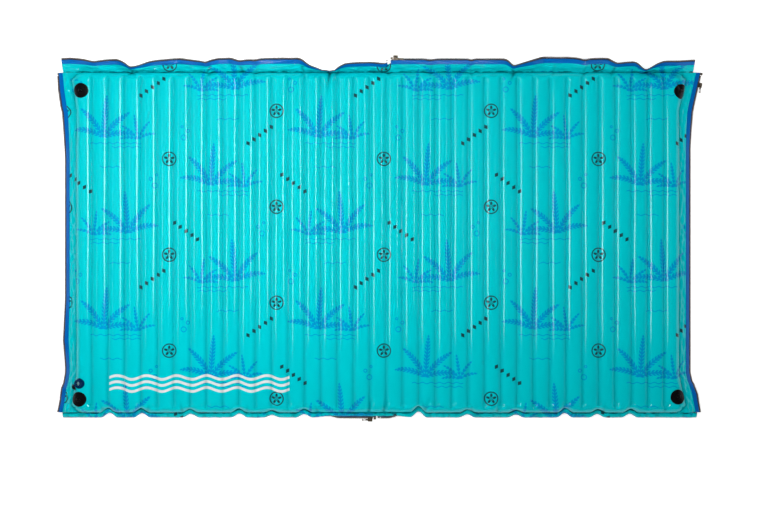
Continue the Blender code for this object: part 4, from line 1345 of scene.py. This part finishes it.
    def fold_shades(self, a: Arr, s: Arr) -> Arr:
        """How deep the film's sharp folds lie in painted shade.

        Args:
            a: Places along the side, as a column.
            s: Shares of the edge's width, as a row.

        Returns:
            The shade, from 0 to 1.
        """
        shade = np.zeros((len(a), s.shape[1]))
        if self.side is Side.TOP:
            for px, lean, deep in self.fold_shade_px:
                line = VIEW.x(px) + (VIEW.x(px + lean) - VIEW.x(px)) * s
                shade = np.maximum(shade, deep * bell(a - line, self.fold_shade_width))
            return shade * smooth_step((0.66 - s) / 0.25)
        if self.side is Side.BOTTOM:
            # Painted shade on the tucked bottom skirt: a broken shadow line by the seam, a dark edge
            # where the film turns under, and darker crinkles.
            patchy = 0.5 + 0.5 * np.sin(a * 37 + 4 * np.sin(a * 11)) * np.sin(a * 83)
            seam = (0.35 + 0.65 * patchy) * smooth_step((0.13 - s) / 0.08)
            rim = (0.6 + 0.4 * patchy) * smooth_step((s - 0.27) / 0.07)
            crinkle = 0.25 + 0.4 * smooth_step(np.sin(a * 141 + 5 * np.sin(a * 23)) * 2 - 1)
            shade = np.maximum(np.maximum(seam, rim), crinkle)
        return shade

    def stations(self, first: float, last: float) -> Arr:
        """Equal steps between two places along the side."""
        return np.linspace(first, last, round((last - first) / self.step) + 1)

    def build(self) -> None:
        """Build the skirt of printed film."""
        along = self.stations(*self.ends)
        shares = np.concatenate([[0], np.linspace(0.035, self.width / self.edge_width, 19)])
        spread = along[:, None], shares[None, :]
        net = self.layer(along, shares, self.crumple(*spread), self.fold_shades(*spread))
        name = self.side.name.lower()
        piece = self.pad.finishes.piece(
            f"skirt_film_{name}", net, Slot.FILM, f"skirt_{name}", wall=self.wall
        )


@dataclass
class ZipEdge:
    """The band, the tape and the teeth along every edge."""

    skirts: dict[Side, Skirt]
    finishes: Finishes
    band_end: float = 0.0565
    band_wall: float = 0.0005
    band_lift: float = 0.00075
    tape_end: float = 0.06
    tape_wall: float = 0.0008
    lap: float = 0.0003
    chain_in: float = 0.0606
    cord: float = 0.0022
    tooth_pitch: float = 0.0034
    tooth: Point = (0.0022, 0.0054, 0.0033)
    tooth_bevel: float = 0.0005
    end_length: float = 0.013
    top_split_px: Pair = (387.5, 390.5)
    bottom_split_px: Pair = (376, 377.5)

    @property
    def runs(self) -> dict[str, tuple[Skirt, float, float, bool, bool]]:
        """Set out the runs of zip.

        Returns:
            Each run's skirt, its ends, and at which ends its teeth stop short.
        """
        runs = {
            side.name.lower(): (self.skirts[side], *self.skirts[side].ends, False, True)
            for side in (Side.LEFT, Side.RIGHT)
        }
        for side, split_px in ((Side.TOP, self.top_split_px), (Side.BOTTOM, self.bottom_split_px)):
            name, skirt = side.name.lower(), self.skirts[side]
            left, right = map(VIEW.x, split_px)
            runs[f"{name}_left"] = (skirt, skirt.ends[0], left, False, True)
            runs[f"{name}_right"] = (skirt, right, skirt.ends[1], True, False)
        return runs

    def teeth(self, skirt: Skirt, along: Arr) -> Net:
        """The teeth of a run, set at equal steps along its edge.

        Args:
            skirt: The side's skirt.
            along: Places along the run.

        Returns:
            The teeth's net.
        """
        middle = (self.chain_in + skirt.edge_width) / 2
        shares = (middle + np.array([-0.001, 0, 0.001])) / skirt.edge_width
        points = skirt.surface(along, shares, 0.0)
        line = points[:, 1]
        reach = np.cumsum(np.linalg.norm(np.diff(line, axis=0, prepend=line[:1]), axis=1))
        count = int(reach[-1] / self.tooth_pitch)
        spots = (np.arange(count) + 0.5) * reach[-1] / count
        centre, out = (
            np.stack([np.interp(spots, reach, way) for way in ways.T], axis=1)
            for ways in (line, points[:, 2] - points[:, 0])
        )
        net = bmesh.new()
        for spot, way, outward in zip(centre, np.gradient(centre, axis=0), out):
            length = Vector(way).normalized()
            normal = length.cross(Vector(outward)).normalized()
            axes = (length, normal.cross(length), normal)
            turn = Matrix([axis * size for axis, size in zip(axes, self.tooth)])
            place = Matrix.Translation(spot) @ turn.transposed().to_4x4()
            bmesh.ops.create_cube(net, size=1, matrix=place)
        bmesh.ops.bevel(
            net, geom=net.edges[:], affect="EDGES", offset=self.tooth_bevel, segments=1,
            profile=0.5, material=-1,
        )
        return net

    def build(self) -> None:
        """Build every run."""
        for name, (skirt, first, last, trim_first, trim_last) in self.runs.items():
            along = skirt.stations(first, last)
            first += self.end_length * trim_first
            last -= self.end_length * trim_last
            trimmed = skirt.stations(first, last)
            for kind, places, start, end, lines, lift, slot, wall, nodes in (
                (
                    "band", along, skirt.band_start, self.band_end, 9,
                    self.band_lift + self.band_wall / 2, Slot.BAND, self.band_wall,
                    [f"edge_band_{name}"],
                ),
                (
                    "tape", along, skirt.width + self.lap, self.tape_end, 7, 0.0, Slot.TAPE,
                    self.tape_wall, [f"zip_tape_{name}"],
                ),
                (
                    "zip_cord", trimmed, self.tape_end + self.lap, self.chain_in + self.cord, 3,
                    0.0, Slot.TAPE, self.cord, [],
                ),
            ):
                shares = np.linspace(start, end, lines) / skirt.edge_width
                net = skirt.layer(places, shares, lift)
                self.finishes.piece(f"{kind}_{name}", net, slot, *nodes, wall=wall)
            teeth = self.teeth(skirt, trimmed)
            self.finishes.piece(
                f"teeth_{name}", teeth, Slot.CHAIN, f"zip_chain_{name}", crisp=35.0
            )


@dataclass
class ZipHardware:
    """The sliders, their pulls, and the boxes and pins where the zips start."""

    nodes: dict[str, Piece]
    finishes: Finishes
    slider_bevel: float = 0.0006
    pull_bevel: float = 0.0004
    end_bevel: float = 0.0007

    def dress(self, name: str, bevel: float, body: str) -> None:
        """Copy a hard CAD piece with its edges eased.

        Args:
            name: The piece's name, which its CAD node has too.
            bevel: How wide the eased edges are.
            body: The body that it rides on.
        """
        node = self.nodes[f"zip_{name}"]
        net = bmesh.new()
        net.from_mesh(node.data)
        bmesh.ops.remove_doubles(net, verts=net.verts, dist=0.00001)
        bmesh.ops.dissolve_limit(
            net, angle_limit=math.radians(2), verts=net.verts, edges=net.edges
        )
        ease(net, bevel, 35)
        self.finishes.piece(
            f"{name}_metal", net, Slot.METAL, node.name, body=body, crisp=50.0
        )

    def build(self) -> None:
        """Build the metal pieces from their CAD nodes."""
        for place in ("top", "right", "bottom"):
            self.dress(f"slider_{place}", self.slider_bevel, f"slider_{place}")
            self.dress(f"pull_{place}", self.pull_bevel, f"pull_{place}")
        for name in ("box_top", "box_right", "box_bottom", "pin_top", "pin_left", "pin_bottom"):
            self.dress(name, self.end_bevel, "mat")


@dataclass
class FilmSeat:
    """Finds where things sit on the upper film."""

    pad: Piece
    above: float = 0.03
    search: float = 0.06
    missed: float = -0.012
    deepest: float = -0.014

    def __post_init__(self) -> None:
        """Build the search tree."""
        corners = [corner.co for corner in self.pad.data.vertices]
        faces = [tuple(face.vertices) for face in self.pad.data.polygons]
        self.tree = BVHTree.FromPolygons(corners, faces)

    def frame(self, x: float, y: float, reach: float) -> Matrix:
        """A frame on the film: Z out of it, X towards the mat's top side.

        Args:
            x: The place's X.
            y: The place's Y.
            reach: How far round the place the film's slope is averaged.

        Returns:
            The frame.
        """
        down = Vector((0, 0, -1))
        spot = self.tree.ray_cast(Vector((x, y, 1)), down)[0]
        up = Vector()
        for step in range(8):
            turn = step * math.pi / 4
            start = Vector((x + reach * math.cos(turn), y + reach * math.sin(turn), 1))
            hit, near, _, _ = self.tree.ray_cast(start, down)
            if hit:
                up += near
        return frame_at(spot, up.normalized(), Vector((0, 1, 0)))

    def lay(self, net: Net, place: Matrix, gap: float) -> Net:
        """Let a net made round its own origin follow the film, and move it to its place.

        Args:
            net: The net, whose heights are kept off the film.
            place: The frame that it goes to.
            gap: The least distance to the film.

        Returns:
            The same net.
        """
        inverse, axis = place.inverted(), place.col[2].to_3d()
        for corner in net.verts:
            start = place @ Vector((corner.co.x, corner.co.y, self.above))
            hit = self.tree.ray_cast(start, -axis, self.search)[0]
            drop = (inverse @ hit).z if hit else self.missed
            corner.co.z += max(drop, self.deepest) + gap
        bmesh.ops.transform(net, matrix=place, verts=net.verts)
        return net


@dataclass
class TiePoint:
    """A round black patch with a moulded tie loop."""

    seats: FilmSeat
    finishes: Finishes
    radius: float = 0.0315
    wall: float = 0.0012
    gap: float = 0.0004
    rim: float = 0.0019
    foot_radius: float = 0.0105
    foot: float = 0.0018
    wire: float = 0.0017
    inner: float = 0.0046
    leg: float = 0.003
    seat: float = 0.0008
    spots_px: dict[str, Pair] = field(default_factory=lambda: {
        "top_left": (82.5, 91.5), "top_right": (679.5, 92.5),
        "bottom_left": (80.5, 398.5), "bottom_right": (676.5, 396.2),
    })

    def disc(self) -> Net:
        """Make the patch: a thin disc of fine rings with a raised bead.

        Returns:
            The patch's net.
        """
        radii = np.linspace(0, self.radius - 0.003, 12)
        bead = [
            (self.radius - 0.0028, self.wall), (self.radius - 0.0022, self.rim),
            (self.radius - 0.0012, self.rim + 0.0002), (self.radius - 0.0003, self.rim - 0.0004),
            (self.radius, self.wall * 0.4), (self.radius, 0),
        ]
        top = [(radius, self.wall) for radius in radii]
        return spun_net(top + bead + [(radius, 0) for radius in radii[::-1]], 72)

    def loop(self) -> list[Net]:
        """Make the loop: a round foot, and an arch of wire spun over it, with its legs.

        Returns:
            The nets of the foot and the arch.
        """
        top = (self.foot_radius - 0.0015, self.foot)
        foot = spun_net([(0, self.foot), top, (self.foot_radius, 0), (0, 0)], 48)
        arch = bmesh.new()
        turn = Matrix.Translation((0, self.inner + self.wire, 0))
        ring = bmesh.ops.create_circle(arch, segments=16, radius=self.wire, matrix=turn)["verts"]
        last = bmesh.ops.spin(
            arch, geom=ring + arch.edges[:], cent=(0, 0, 0), axis=(1, 0, 0), angle=math.pi,
            steps=24, use_merge=False,
        )["geom_last"]
        bmesh.ops.translate(arch, verts=arch.verts, vec=(0, 0, self.foot + self.leg))
        for end in (ring, [item for item in last if isinstance(item, bmesh.types.BMVert)]):
            edges = {
                edge for corner in end for edge in corner.link_edges
                if all(other in end for other in edge.verts)
            }
            grown = bmesh.ops.extrude_edge_only(arch, edges=list(edges))["geom"]
            low = [item for item in grown if isinstance(item, bmesh.types.BMVert)]
            bmesh.ops.translate(arch, verts=low, vec=(0, 0, -self.leg - self.foot / 2))
            bmesh.ops.edgeloop_fill(arch, edges=[
                item for item in grown
                if isinstance(item, bmesh.types.BMEdge) and all(v in low for v in item.verts)
            ])
        bmesh.ops.recalc_face_normals(arch, faces=arch.faces)
        return [ease(foot, 0.0004), arch]

    def build(self) -> None:
        """Build the four tie points."""
        for name, (px, py) in self.spots_px.items():
            place = self.seats.frame(VIEW.x(px), VIEW.y(py), self.radius * 0.45)
            patch = self.seats.lay(self.disc(), place, self.gap)
            above = place @ Matrix.Translation((0, 0, self.gap + self.wall + self.seat))
            loop = merge_nets(self.loop(), above)
            for kind, net in (("patch", patch), ("loop", loop)):
                self.finishes.piece(
                    f"{kind}_{name}", net, Slot.PATCH, f"tie_{kind}_{name}", crisp=60.0
                )


@dataclass
class Valve:
    """The inflation valve: collar, neck, strap, open cap and check flap."""

    nodes: dict[str, Piece]
    seats: FilmSeat
    finishes: Finishes
    flange: float = 0.022
    hole: float = 0.01
    bore: float = 0.0096
    neck_wall: float = 0.0026
    foot_radius: float = 0.015
    foot: float = 0.002
    rim_radius: float = 0.0162
    rim: float = 0.003
    height: float = 0.014
    cap_radius: float = 0.014
    cap_wall: float = 0.003
    cap_dish: float = 0.0004
    plug_wall: float = 0.002
    plug_depth: float = 0.005
    plug_gap: float = 0.0006
    strap_wall: float = 0.0016
    strap_ring: float = 0.002
    strap_width: float = 0.004
    knuckle: float = 0.0012
    stand_off: float = 0.0024
    open_degrees: float = 225.0
    touch: float = 0.0003
    bevel: float = 0.0003
    patch_gap: float = 0.0004
    patch_wall: float = 0.0012
    flap_wall: float = 0.0008
    flap_gap: float = 0.0008
    flap_seat: float = 0.0012
    well_depth: float = 0.017
    well_edge: float = 0.0045

    def __post_init__(self) -> None:
        """Read the neck's frame from the CAD: Z along the bore, X towards the cap's hinge."""
        neck, cap, flap = (corners_of(self.nodes[f"valve_{kind}"]) for kind in ("neck", "cap", "flap"))
        up = Vector(np.linalg.svd(flap - flap.mean(axis=0))[2][2])
        up = up if up.z > 0 else -up
        middle = Vector(flap.mean(axis=0))
        foot = middle + up * (float((neck @ np.array(up)).min()) - middle.dot(up))
        self.place = frame_at(foot, up, Vector(cap.mean(axis=0)) - foot)
        self.hinge_out, self.hinge_z = self.rim_radius + self.stand_off, self.height - self.touch

    def piece(self, name: str, nets: list[Net], slot: Slot, node: str, **more: str) -> None:
        """Add a piece made of nets in the neck's frame, in place of a CAD node."""
        net = merge_nets(nets, self.place)
        self.finishes.piece(f"valve_{name}", net, slot, f"valve_{node}", crisp=50.0, **more)

    def knuckle_net(self, low: float, high: float) -> Net:
        """Make a hinge knuckle along Y.

        Args:
            low: Where it starts along Y.
            high: Where it ends.

        Returns:
            The knuckle's net.
        """
        net = bmesh.new()
        middle = Matrix.Translation((self.hinge_out, (low + high) / 2, self.hinge_z))
        bmesh.ops.create_cone(
            net, cap_ends=True, segments=20, radius1=self.knuckle, radius2=self.knuckle,
            depth=high - low, matrix=middle @ Matrix.Rotation(math.pi / 2, 4, "X"),
        )
        return net

    def build(self) -> None:
        """Build the valve where its CAD nodes are."""
        tube, low_rim = self.bore + self.neck_wall, self.height - self.rim
        collar = ease(spun_net([
            (self.flange, self.patch_wall), (self.flange, 0), (self.hole, 0),
            (self.hole, self.patch_wall),
        ], 64), self.bevel)
        drop = -self.touch - self.patch_wall - self.patch_gap
        self.seats.lay(collar, self.place @ Matrix.Translation((0, 0, drop)), self.patch_gap)
        self.finishes.piece("valve_collar", collar, Slot.VALVE, "valve_flange", crisp=50.0)

        neck = spun_net([
            (self.rim_radius, self.height), (self.rim_radius, low_rim), (tube, low_rim),
            (tube, self.foot + 0.001), (tube + 0.001, self.foot), (self.foot_radius, self.foot),
            (self.foot_radius, 0), (self.bore, 0), (self.bore, self.height),
        ], 64)
        self.piece("tube", [ease(neck, 0.0005)], Slot.VALVE, "neck")

        inner = tube + self.touch
        outer = inner + self.strap_ring
        top = low_rim - self.touch
        low, half, out = top - self.strap_wall, self.strap_width / 2, self.hinge_out
        ring = spun_net([(outer, top), (outer, low), (inner, low), (inner, top)], 48)
        self.piece("strap_ring", [
            ease(ring, self.bevel),
            box_net(((inner + outer) / 2, -half, low), (out, half, top), self.bevel),
            box_net(
                (out - self.knuckle, -half, low), (out + self.knuckle, half, self.hinge_z),
                self.bevel,
            ),
            self.knuckle_net(-half, half),
        ], Slot.VALVE, "strap")
        self.build_cap()

        radius = self.bore - self.flap_gap
        flap = ease(spun_net([
            (0, self.flap_wall), (radius * 0.5, self.flap_wall), (radius, self.flap_wall),
            (radius, 0), (0, 0),
        ], 48), 0.0002)
        bmesh.ops.translate(flap, verts=flap.verts, vec=(0, 0, self.flap_seat))
        self.piece("check_flap", [flap], Slot.CLEAR_FILM, "flap", body="flap")

    def build_cap(self) -> None:
        """Build the cap, swung open about its hinge."""
        base = self.height + self.touch
        plug = self.bore - self.plug_gap
        top, roof, foot = base + self.cap_wall, base + 0.001, base - self.plug_depth
        nets = [ease(spun_net([
            (0, top - self.cap_dish), (self.cap_radius * 0.55, top - self.cap_dish),
            (self.cap_radius * 0.68, top), (self.cap_radius, top), (self.cap_radius, base),
            (plug, base), (plug, foot), (plug - self.plug_wall, foot),
            (plug - self.plug_wall, roof), (0, roof),
        ], 64), 0.0005)]
        start = self.strap_width / 2 + self.touch
        for side in (-1, 1):
            low, high = sorted((side * start, side * (start + self.strap_width / 2)))
            nets.append(box_net(
                (self.cap_radius / 2, low, base + self.touch),
                (self.hinge_out, high, base + self.strap_wall), self.bevel,
            ))
            nets.append(self.knuckle_net(low, high))
        hinge = Matrix.Translation((self.hinge_out, 0, self.hinge_z))
        opened = hinge @ Matrix.Rotation(math.radians(self.open_degrees), 4, "Y")
        lid = merge_nets(nets, opened @ hinge.inverted())
        self.piece("lid", [lid], Slot.PATCH, "cap", body="cap")

    def sink(self, pad: Piece) -> None:
        """Args:
            pad: The inflated pad.
        """
        axis, places = np.array(self.place.col[2].to_3d()), corners_of(pad)
        off = places - np.array(self.place.translation)
        high = off @ axis
        reach = np.linalg.norm(off - high[:, None] * axis, axis=1)
        share = 1 - smooth_step((reach - self.bore) / self.well_edge)
        share = np.where(np.abs(high) < self.well_depth, share, 0)
        places -= share[:, None] * self.well_depth * axis
        pad.data.vertices.foreach_set("co", places.ravel())
        # The pressed-in well is also painted dark, as shade in the recess.
        painted_fold_shade = pad.data.attributes["painted_fold_shade"].data
        shade = np.empty(len(places))
        painted_fold_shade.foreach_get("value", shade)
        painted_fold_shade.foreach_set("value", np.maximum(shade, share))
        LOG.info("air_pad: %d points pressed in below the neck", int((share > 0).sum()))


@dataclass(frozen=True)
class Lamp:
    """A rectangular soft light: its beam opens by spread degrees, and gloss may show it."""

    name: str
    spot: Point
    target: Point
    size: Pair
    watts: float
    spread: float
    mirrored: bool = True

    def hang(self) -> None:
        """Add the light to the scene."""
        data = bpy.data.lights.new(self.name, "AREA")
        data.shape = "RECTANGLE"
        data.size, data.size_y = self.size
        data.energy, data.spread = self.watts, math.radians(self.spread)
        lamp = bpy.data.objects.new(self.name, data)
        way = Vector(self.target) - Vector(self.spot)
        lamp.rotation_euler = way.to_track_quat("-Z", "Y").to_euler()
        lamp.location, lamp.visible_glossy = self.spot, self.mirrored
        bpy.context.scene.collection.objects.link(lamp)


@dataclass
class Studio:
    """The pale floor, the soft lights and the camera overhead."""

    height: float = 6.0
    aim: Pair = (0.0265, -0.0572)
    field: float = 3.253
    plane: float = 0.0375
    sensor: float = 36
    floor: float = 80.0
    floor_colour: Colour = (0.84, 0.84, 0.84, 1)
    floor_glow: float = 0.66
    horizon: float = 0.6
    overhead: float = 0.1
    white_fade: Pair = (-8.0, 3.4)
    lamps: tuple[Lamp, ...] = (
        Lamp("right_strip", (3.1, 0.75, 5.6), (-1.25, 0.35, 0), (2.6, 1.6), 2.4, 15),
        Lamp("top_glint", (0.3, -3.6, 3.0), (0.1, 0.76, 0.05), (4.0, 0.2), 2.0, 24),
        Lamp("left_strip", (-3.1, 0.35, 5.6), (1.3, 0.25, 0), (2.3, 3.0), 2.7, 15),
        Lamp("left_fill", (-1.4, 0.7, 4.0), (-0.9, 0.25, 0), (1.5, 1.5), 7.5, 60, mirrored=False),
        Lamp("fill", (0.3, 0.5, 4.5), (0.3, 0.4, 0), (3.0, 2.0), 53, 180, mirrored=False),
    )

    def camera(self) -> None:
        """Put the camera straight over the mat, with +Y up."""
        data = bpy.data.cameras.new("camera")
        data.sensor_width = self.sensor
        data.lens = self.sensor * (self.height - self.plane) / self.field
        camera = bpy.data.objects.new("camera", data)
        camera.location = (*self.aim, self.height)
        bpy.context.scene.collection.objects.link(camera)
        bpy.context.scene.camera = camera

    def seen(self, tree: Tree) -> Term:
        """1 for the rays of the camera, of gloss and of clear film, and 0 for the rest."""
        rays = ("Is Camera Ray", "Is Transmission Ray", "Is Glossy Ray")
        return most(*(read(tree, "ShaderNodeLightPath", ray) for ray in rays))

    def world(self) -> None:
        """Light the mat evenly, and show white to the camera."""
        world = bpy.data.worlds.new("studio")
        bpy.context.scene.world = world
        world.use_nodes = True
        tree = world.node_tree
        up = split(read(tree, "ShaderNodeTexCoord", "Generated"))[2]
        mirrored = read(tree, "ShaderNodeLightPath", "Is Glossy Ray")
        room = (up * up * (self.overhead - self.horizon) + self.horizon) * (1.0 - mirrored)
        low = calc("MULTIPLY_ADD", up, *self.white_fade, clamp=True)
        feed(tree.nodes["Background"], {
            "Color": (1, 1, 1, 1), "Strength": most(room, self.seen(tree) * low),
        })

    def backdrop(self) -> None:
        """Lay the pale floor, which shows white and keeps the mat's shadow."""
        net = bmesh.new()
        bmesh.ops.create_grid(net, x_segments=1, y_segments=1, size=self.floor / 2)
        mesh = bpy.data.meshes.new("floor")
        net.to_mesh(mesh)
        net.free()
        material, shader = new_material("floor")
        feed(shader, {
            "Base Color": self.floor_colour, "Roughness": 0.9, "Specular IOR Level": 0.0,
            "Emission Color": (1, 1, 1, 1),
            "Emission Strength": self.seen(material.node_tree) * self.floor_glow,
        })
        mesh.materials.append(material)
        floor = bpy.data.objects.new("floor", mesh)
        bpy.context.scene.collection.objects.link(floor)

    def build(self) -> None:
        """Set up the whole studio."""
        self.camera()
        self.world()
        self.backdrop()
        for lamp in self.lamps:
            lamp.hang()
        bpy.context.scene.view_settings.view_transform = "Standard"


def main() -> None:
    """Build the dressed mat and its studio."""
    logging.basicConfig(level=logging.INFO, format="%(name)s: %(message)s")
    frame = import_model()
    nodes = frame["nodes"]
    finishes = Finishes()
    Studio().build()
    pad = AirPad(finishes)
    body = pad.build()
    skirts = {side: Skirt(side, pad) for side in Side}
    for skirt in skirts.values():
        skirt.build()
    ZipEdge(skirts, finishes).build()
    ZipHardware(nodes, finishes).build()
    seats = FilmSeat(body)
    TiePoint(seats, finishes).build()
    valve = Valve(nodes, seats, finishes)
    valve.build()
    valve.sink(body)
    nodes["web_sheet"].material_slots[0].material = finishes.web


if __name__ == "__main__":
    main()
